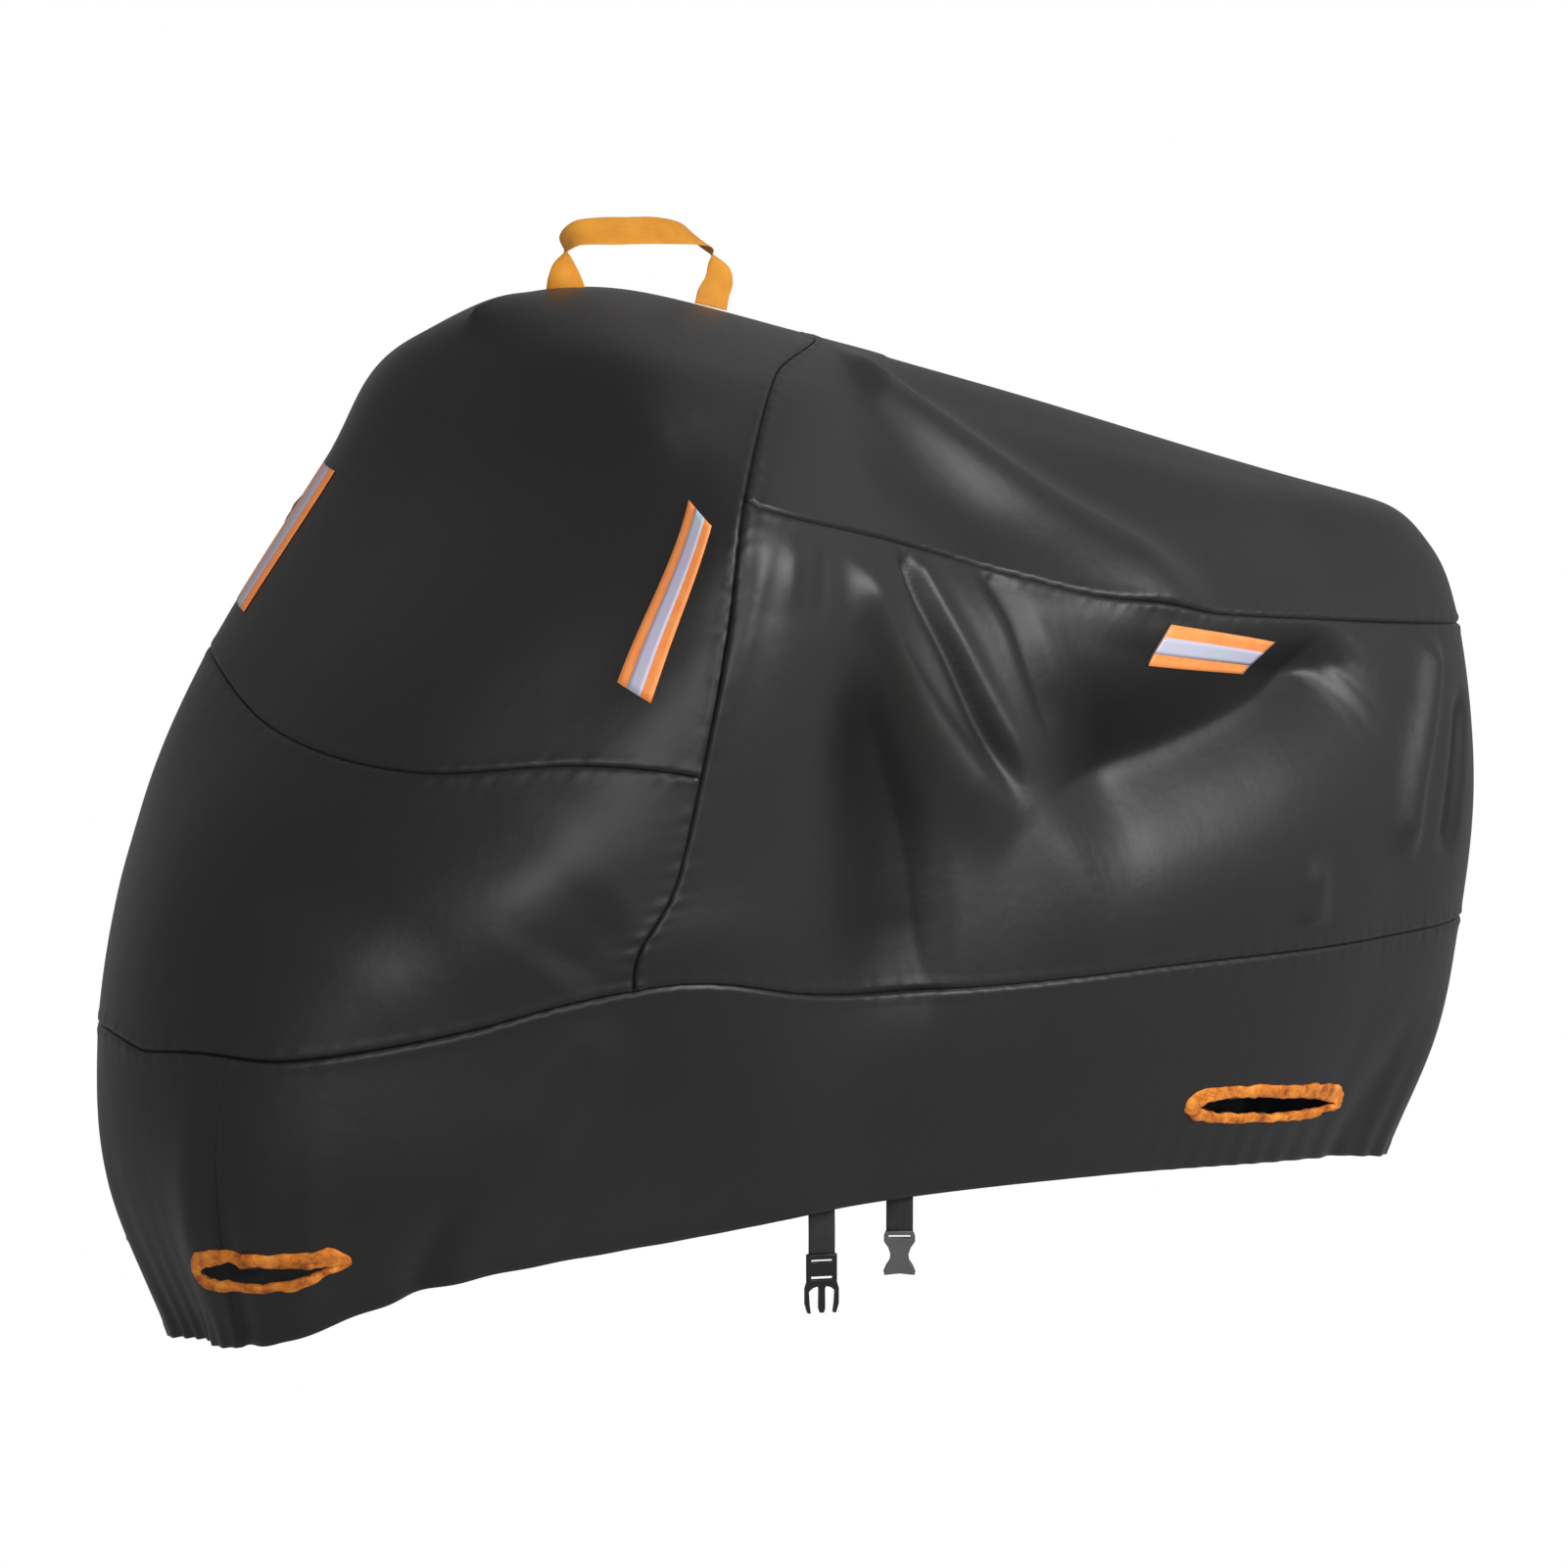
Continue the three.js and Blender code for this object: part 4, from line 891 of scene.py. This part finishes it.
def add_panels():
    sides = {"start": 1, "end": 1, "lower": 1}
    closed = {**sides, "upper": 1}
    open_top = {**sides, "upper": 0}
    hood_seams = {"start": 1, "end": 1, "lower": 0.75, "upper": 0}
    nose_seams = {"start": 1, "end": 1, "lower": 1, "upper": 0.75}
    near_skirt = {"start": 0.25, "end": 1, "lower": 0, "upper": 1}
    far_skirt = {"start": 1, "end": 0.25, "lower": 0, "upper": 1}
    add_panel("hood_panel", -BAR, BAR, hood_seam, ridge_line, hood_seams)
    add_panel("nose_panel", -BAR, BAR, skirt_seam, hood_seam, nose_seams)
    add_panel("saddle_panel", BAR, ROUND - BAR, belt_seam, ridge_line, open_top)
    add_panel("side_panel_near", BAR, HALF, skirt_seam, belt_seam, closed)
    add_panel("side_panel_far", HALF, ROUND - BAR, skirt_seam, belt_seam, closed)
    near = [SLOTS["front_near"], SLOTS["rear_near"]]
    far = [SLOTS["front_far"], SLOTS["rear_far"], SLOTS["front_near"]]
    add_panel("skirt_near", FRONT_JOIN, HALF, hem_line, skirt_seam, near_skirt, True, near)
    add_panel("skirt_far", HALF, ROUND + FRONT_JOIN, hem_line, skirt_seam, far_skirt, True, far)


# Tapes.

def tape_grid(corners, shares, steps, grow=0.0):
    """Places of a tape's points, from one long edge to the other. grow widens it by mm on each side."""
    a, b, c, d = [np.array(p, float) for p in corners]
    s = np.linspace(0, 1, steps + 1)[None, :, None]
    t = np.asarray(shares, float)[:, None, None]
    places = (a * (1 - s) + b * s) * (1 - t) + (c * (1 - s) + d * s) * t
    u, v = places[..., 0], places[..., 1]
    if grow:
        gaps = RING_STEPS[int(u.mean())], LEVEL_STEPS[1 + int(v.mean())]
        um, vm = u.mean(), v.mean()
        flat = np.stack([(u - um) * gaps[0], (v - vm) * gaps[1]], -1)
        size = np.linalg.norm(flat, axis=-1).max()
        flat = flat * (1 + grow / size)
        u, v = um + flat[..., 0] / gaps[0], vm + flat[..., 1] / gaps[1]
    return u, v


def strip(name, u, v, lift, material, node, thickness):
    """A thin piece of cloth on the cover's surface, lifted off it by mm."""
    falls = v[0].mean() > v[-1].mean()
    forward = u[0, -1] > u[0, 0]
    if falls == forward:
        u, v = u[:, ::-1], v[:, ::-1]
    points = folded(u, v) + normals_of(folded, u, v) * lift
    rise, run = arcs(points, 0), arcs(points, 1)
    piece = make_object(name, to_metres(points).reshape(-1, 3), grid_faces(*u.shape), material)
    facing = np.array(piece.data.polygons[len(piece.data.polygons) // 2].normal)
    if facing @ normals_of(folded, u[:1, :1], v[:1, :1])[0, 0] < 0:
        piece.data.flip_normals()
    add_uv(piece, np.stack([rise, run], -1).reshape(-1, 2) * MM)
    thicken(piece, thickness, offset=1)
    if node:
        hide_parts(node)
    return piece


def add_tapes():
    for name, corners in TAPES.items():
        shares = np.linspace(0, 1, 9)
        u, v = tape_grid(corners, shares, 28)
        strip("tape_" + name, u, v, 0.8, MATERIALS["tape"], "tape_" + name, TAPE_THICK)
        u, v = tape_grid(corners, np.linspace(*BAND_SHARES, 5), 28)
        strip("band_" + name, u, v, 0.8 + TAPE_THICK + 0.15, MATERIALS["band"], "band_" + name, 0.5)
        if name.startswith("side"):
            u, v = tape_grid(corners, shares, 28, grow=4)
            strip("rim_" + name, u, v, 0.3, MATERIALS["rim"], None, 0.4)


# Slot bindings.

def loop_curve(points, count):
    """A closed smooth curve through points, at evenly spaced places."""
    points = np.asarray(points, float)
    n = len(points)
    t = np.linspace(0, n, count, endpoint=False)
    i = t.astype(int)
    f = (t - i)[:, None]
    p = [points[(i + k) % n] for k in (-1, 0, 1, 2)]
    return 0.5 * (2 * p[1] + (p[2] - p[0]) * f + (2 * p[0] - 5 * p[1] + 4 * p[2] - p[3]) * f**2
                  + (3 * p[1] - p[0] - 3 * p[2] + p[3]) * f**3)


BINDING_STEPS = 180
BINDING_SECTION = 16
BINDING_HEIGHT = 4.2
BINDING_DEPTH = 4.5


def add_bindings():
    for name, slot in SLOTS.items():
        outer = loop_curve([row["outer"] for row in BINDING_EDGES], BINDING_STEPS)
        inner = loop_curve([row["inner"] for row in BINDING_EDGES], BINDING_STEPS)
        angles = np.linspace(0, 2 * math.pi, BINDING_SECTION, endpoint=False)
        across = 0.5 - 0.5 * np.cos(angles)
        up = np.sin(angles)
        lift = np.where(up > 0, BINDING_HEIGHT, -BINDING_DEPTH) * np.sqrt(np.abs(up))
        places = outer[:, None] * (1 - across[None, :, None]) + inner[:, None] * across[None, :, None]
        u, v = slot_place(slot, places[..., 0], places[..., 1])
        base = smooth(u, v)
        lifts = np.broadcast_to(lift, u.shape) + relief(u, v, base)
        points = base + normals_of(smooth, u, v) * lifts[..., None]
        for row in points:
            for k, p in enumerate(row):
                crumple = noise.noise_vector(Vector(p) * 0.055) * 3.0 + noise.noise_vector(Vector(p) * 0.14) * 1.6
                row[k] = p + np.array(crumple)
        faces = grid_faces(BINDING_STEPS + 1, BINDING_SECTION, wrap=True) % (BINDING_STEPS * BINDING_SECTION)
        piece = make_object("slot_binding_" + name, to_metres(points).reshape(-1, 3), faces, MATERIALS["binding"])
        mesh = bmesh.new()
        mesh.from_mesh(piece.data)
        bmesh.ops.recalc_face_normals(mesh, faces=mesh.faces)
        mesh.to_mesh(piece.data)
        mesh.free()
        smoother = piece.modifiers.new("smooth", "SUBSURF")
        smoother.levels = smoother.render_levels = 1
        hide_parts("slot_binding_" + name)


# Handle, straps and buckles.

RIBBON_SECTION = [(-1, 0), (-0.97, 0.7), (-0.9, 1), (-0.5, 1), (0, 1), (0.5, 1), (0.9, 1), (0.97, 0.7),
                  (1, 0), (0.97, -0.7), (0.9, -1), (0.5, -1), (0, -1), (-0.5, -1), (-0.9, -1), (-0.97, -0.7)]


def ribbon(name, centres, halves, thickness, material):
    """Webbing with rounded edges along its centres, as wide as its half vectors say."""
    tangents = np.gradient(centres, axis=0)
    tangents /= np.linalg.norm(tangents, axis=1, keepdims=True)
    outs = np.cross(tangents, halves)
    outs /= np.linalg.norm(outs, axis=1, keepdims=True)
    points = np.stack([centres + halves * w + outs * (t * thickness / 2) for w, t in RIBBON_SECTION], 1)
    faces = grid_faces(len(centres), len(RIBBON_SECTION), wrap=True).tolist()
    count = len(RIBBON_SECTION)
    faces.append(list(range(count))[::-1])
    faces.append([(len(centres) - 1) * count + k for k in range(count)])
    piece = make_object(name, to_metres(points).reshape(-1, 3), faces, material)
    run = arcs(centres, 0)
    wide = np.linalg.norm(halves, axis=1)
    coordinates = [[w * wide[k], run[k]] for k in range(len(centres)) for w, _ in RIBBON_SECTION]
    add_uv(piece, np.array(coordinates) * MM)
    mesh = bmesh.new()
    mesh.from_mesh(piece.data)
    bmesh.ops.recalc_face_normals(mesh, faces=mesh.faces)
    mesh.to_mesh(piece.data)
    mesh.free()
    return piece, (2 * float(wide.mean()) * MM, float(run[-1]) * MM)


def add_handle():
    centres = spline([row["at"] for row in HANDLE], 120)
    halves = spline([row["half"] for row in HANDLE], 120)
    piece, flat = ribbon("handle", centres, halves, WEBBING, MATERIALS["handle"])
    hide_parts("handle")


def add_straps():
    for name, strap in STRAPS.items():
        angle = math.radians(strap["turn"])
        x, y = strap["at"]
        half = np.array([math.cos(angle), math.sin(angle), 0]) * STRAP_WIDTH / 2
        out = np.array([-math.sin(angle), math.cos(angle), 0])
        heights = np.linspace(strap["top"], strap["end"], 24)
        sway = 1.2 * np.sin((strap["top"] - heights) / 19)
        centres = np.stack([np.full(24, x), np.full(24, y), heights], 1) + out * sway[:, None]
        halves = np.broadcast_to(half, centres.shape)
        piece, flat = ribbon("strap_" + name, centres, halves, WEBBING, MATERIALS["strap"])
        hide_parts("strap_" + name)


# The male buckle's outline and gaps, and the female's, in mm from the top of each, hanging down.
MALE_OUTLINE = [
    (-19, 0), (-19, -36), (-21.5, -44), (-21.5, -64), (-18, -76), (-15.5, -76), (-17, -64), (-18, -47),
    (-12, -42), (-5, -40), (-3.2, -44), (-3.5, -70), (-2, -75), (2, -75), (3.5, -70), (3.2, -44), (5, -40),
    (12, -42), (18, -47), (17, -64), (15.5, -76), (18, -76), (21.5, -64), (21.5, -44), (19, -36), (19, 0),
]
MALE_GAPS = [(-5, -10), (-27, -33)]
FEMALE_OUTLINE = [
    (-17, 0), (-19.5, -6), (-19.5, -13), (-14, -21), (-11, -30), (-12, -38), (-17, -46), (-20, -53),
    (-19, -57), (0, -55), (19, -57), (20, -53), (17, -46), (12, -38), (11, -30), (14, -21), (19.5, -13),
    (19.5, -6), (17, 0),
]
FEMALE_GAPS = [(-4, -9)]
BUCKLE_THICK = 8
BUCKLE_GAP_HALF = 15


def plate_with_gaps(name, outline, gaps, material):
    """A moulded plate in its own x and z, cut by gaps for the webbing, with rounded edges."""
    curve = bpy.data.curves.new(name, "CURVE")
    curve.dimensions = "2D"
    curve.fill_mode = "BOTH"
    curve.extrude = BUCKLE_THICK / 2 * MM - 0.0008
    curve.bevel_depth = 0.0008
    curve.bevel_resolution = 2
    rings = [outline] + [[(-BUCKLE_GAP_HALF, a), (-BUCKLE_GAP_HALF, b), (BUCKLE_GAP_HALF, b), (BUCKLE_GAP_HALF, a)]
                         for a, b in gaps]
    for ring in rings:
        line = curve.splines.new("POLY")
        line.points.add(len(ring) - 1)
        line.use_cyclic_u = True
        for point, (x, z) in zip(line.points, ring):
            point.co = (x * MM, z * MM, 0, 1)
    source = bpy.data.objects.new(name + "_outline", curve)
    bpy.context.scene.collection.objects.link(source)
    bpy.context.view_layer.update()
    mesh = bpy.data.meshes.new_from_object(source.evaluated_get(bpy.context.evaluated_depsgraph_get()))
    bpy.data.objects.remove(source)
    mesh.name = name
    mesh.materials.clear()
    mesh.materials.append(material)
    return mesh


def add_buckles():
    kinds = {
        "male": (MALE_OUTLINE, MALE_GAPS, "black", "buckle_black"),
        "female": (FEMALE_OUTLINE, FEMALE_GAPS, "grey", "buckle_grey"),
    }
    for name, (outline, gaps, material, slot) in kinds.items():
        strap = STRAPS[name]
        mesh = plate_with_gaps("buckle_" + name, outline, gaps, MATERIALS[material])
        x, y = strap["at"]
        place = Matrix.Translation(Vector(to_metres(np.array([x, y, strap["end"] - 0.4]))))
        turn = Matrix.Rotation(math.radians(strap["turn"]), 4, "Z") @ Matrix.Rotation(math.pi / 2, 4, "X")
        mesh.transform(place @ turn)
        piece = bpy.data.objects.new("buckle_" + name, mesh)
        bpy.context.scene.collection.objects.link(piece)
        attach(piece, "root")
        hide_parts("buckle_" + name)


# Stage, lights and camera.

def camera_place():
    azimuth, elevation = math.radians(CAMERA["azimuth"]), math.radians(CAMERA["elevation"])
    back = np.array([math.sin(azimuth) * math.cos(elevation), -math.cos(azimuth) * math.cos(elevation),
                     math.sin(elevation)])
    target = np.array(CAMERA["target"], float)
    return to_metres(target + back * CAMERA["distance"]), to_metres(target)


def add_camera():
    place, target = camera_place()
    data = bpy.data.cameras.new("camera")
    data.lens = CAMERA["lens"]
    data.sensor_width = SENSOR
    data.clip_end = 200
    camera = bpy.data.objects.new("camera", data)
    camera.location = place
    camera.rotation_mode = "QUATERNION"
    camera.rotation_quaternion = Vector(target - place).to_track_quat("-Z", "Y")
    bpy.context.scene.collection.objects.link(camera)
    bpy.context.scene.camera = camera


def area_light(name, place, target, size, power, colour=(1, 1, 1)):
    data = bpy.data.lights.new(name, "AREA")
    data.shape = "RECTANGLE"
    data.size, data.size_y = size
    data.energy = power
    data.color = colour
    light = bpy.data.objects.new(name, data)
    light.location = place
    light.rotation_mode = "QUATERNION"
    light.rotation_quaternion = (Vector(target) - Vector(place)).to_track_quat("-Z", "Y")
    bpy.context.scene.collection.objects.link(light)


# Lights, by their bearing and height as seen from the middle of the cover, in degrees.
LIGHTS = [
    {"name": "key", "azimuth": 24, "elevation": 23, "size": (2.6, 2.0), "power": 205},
    {"name": "front", "azimuth": -30, "elevation": 12, "size": (2.4, 1.8), "power": 74},
]
LIGHT_DISTANCE = 5.5
LIGHT_AIM = (0, 0, 0.65)


def light_place(azimuth, elevation):
    a, e = math.radians(azimuth), math.radians(elevation)
    way = Vector((math.sin(a) * math.cos(e), -math.cos(a) * math.cos(e), math.sin(e)))
    return Vector(LIGHT_AIM) + LIGHT_DISTANCE * way


def add_stage():
    half = FLOOR_SIZE / 2
    count = 24
    ticks = np.linspace(-half, half, count + 1)
    points = [(x, y, 0) for y in ticks for x in ticks]
    mesh = bpy.data.meshes.new("floor")
    mesh.from_pydata(points, [], grid_faces(count + 1, count + 1).tolist())
    mesh.materials.append(floor_material())
    floor = bpy.data.objects.new("floor", mesh)
    bpy.context.scene.collection.objects.link(floor)
    floor.visible_diffuse = False
    floor.visible_glossy = False
    for row in LIGHTS:
        area_light(row["name"], light_place(row["azimuth"], row["elevation"]), LIGHT_AIM, row["size"], row["power"])


def add_world():
    """White for the camera, and a low soft light for the cloth."""
    world = bpy.data.worlds.new("studio")
    bpy.context.scene.world = world
    world.use_nodes = True
    tree = world.node_tree
    background = tree.nodes["Background"]
    background.inputs["Color"].default_value = (1, 1, 1, 1)
    background.inputs["Strength"].default_value = 0.34
    seen = tree.nodes.new("ShaderNodeBackground")
    seen.inputs["Color"].default_value = (1, 1, 1, 1)
    seen.inputs["Strength"].default_value = 1.0
    path = tree.nodes.new("ShaderNodeLightPath")
    mix = tree.nodes.new("ShaderNodeMixShader")
    tree.links.new(path.outputs["Is Camera Ray"], mix.inputs[0])
    tree.links.new(background.outputs[0], mix.inputs[1])
    tree.links.new(seen.outputs[0], mix.inputs[2])
    tree.links.new(mix.outputs[0], tree.nodes["World Output"].inputs["Surface"])


add_camera()
add_panels()
add_tapes()
add_bindings()
add_handle()
add_straps()
add_buckles()
add_stage()
add_world()
bpy.context.scene.view_settings.view_transform = "Standard"
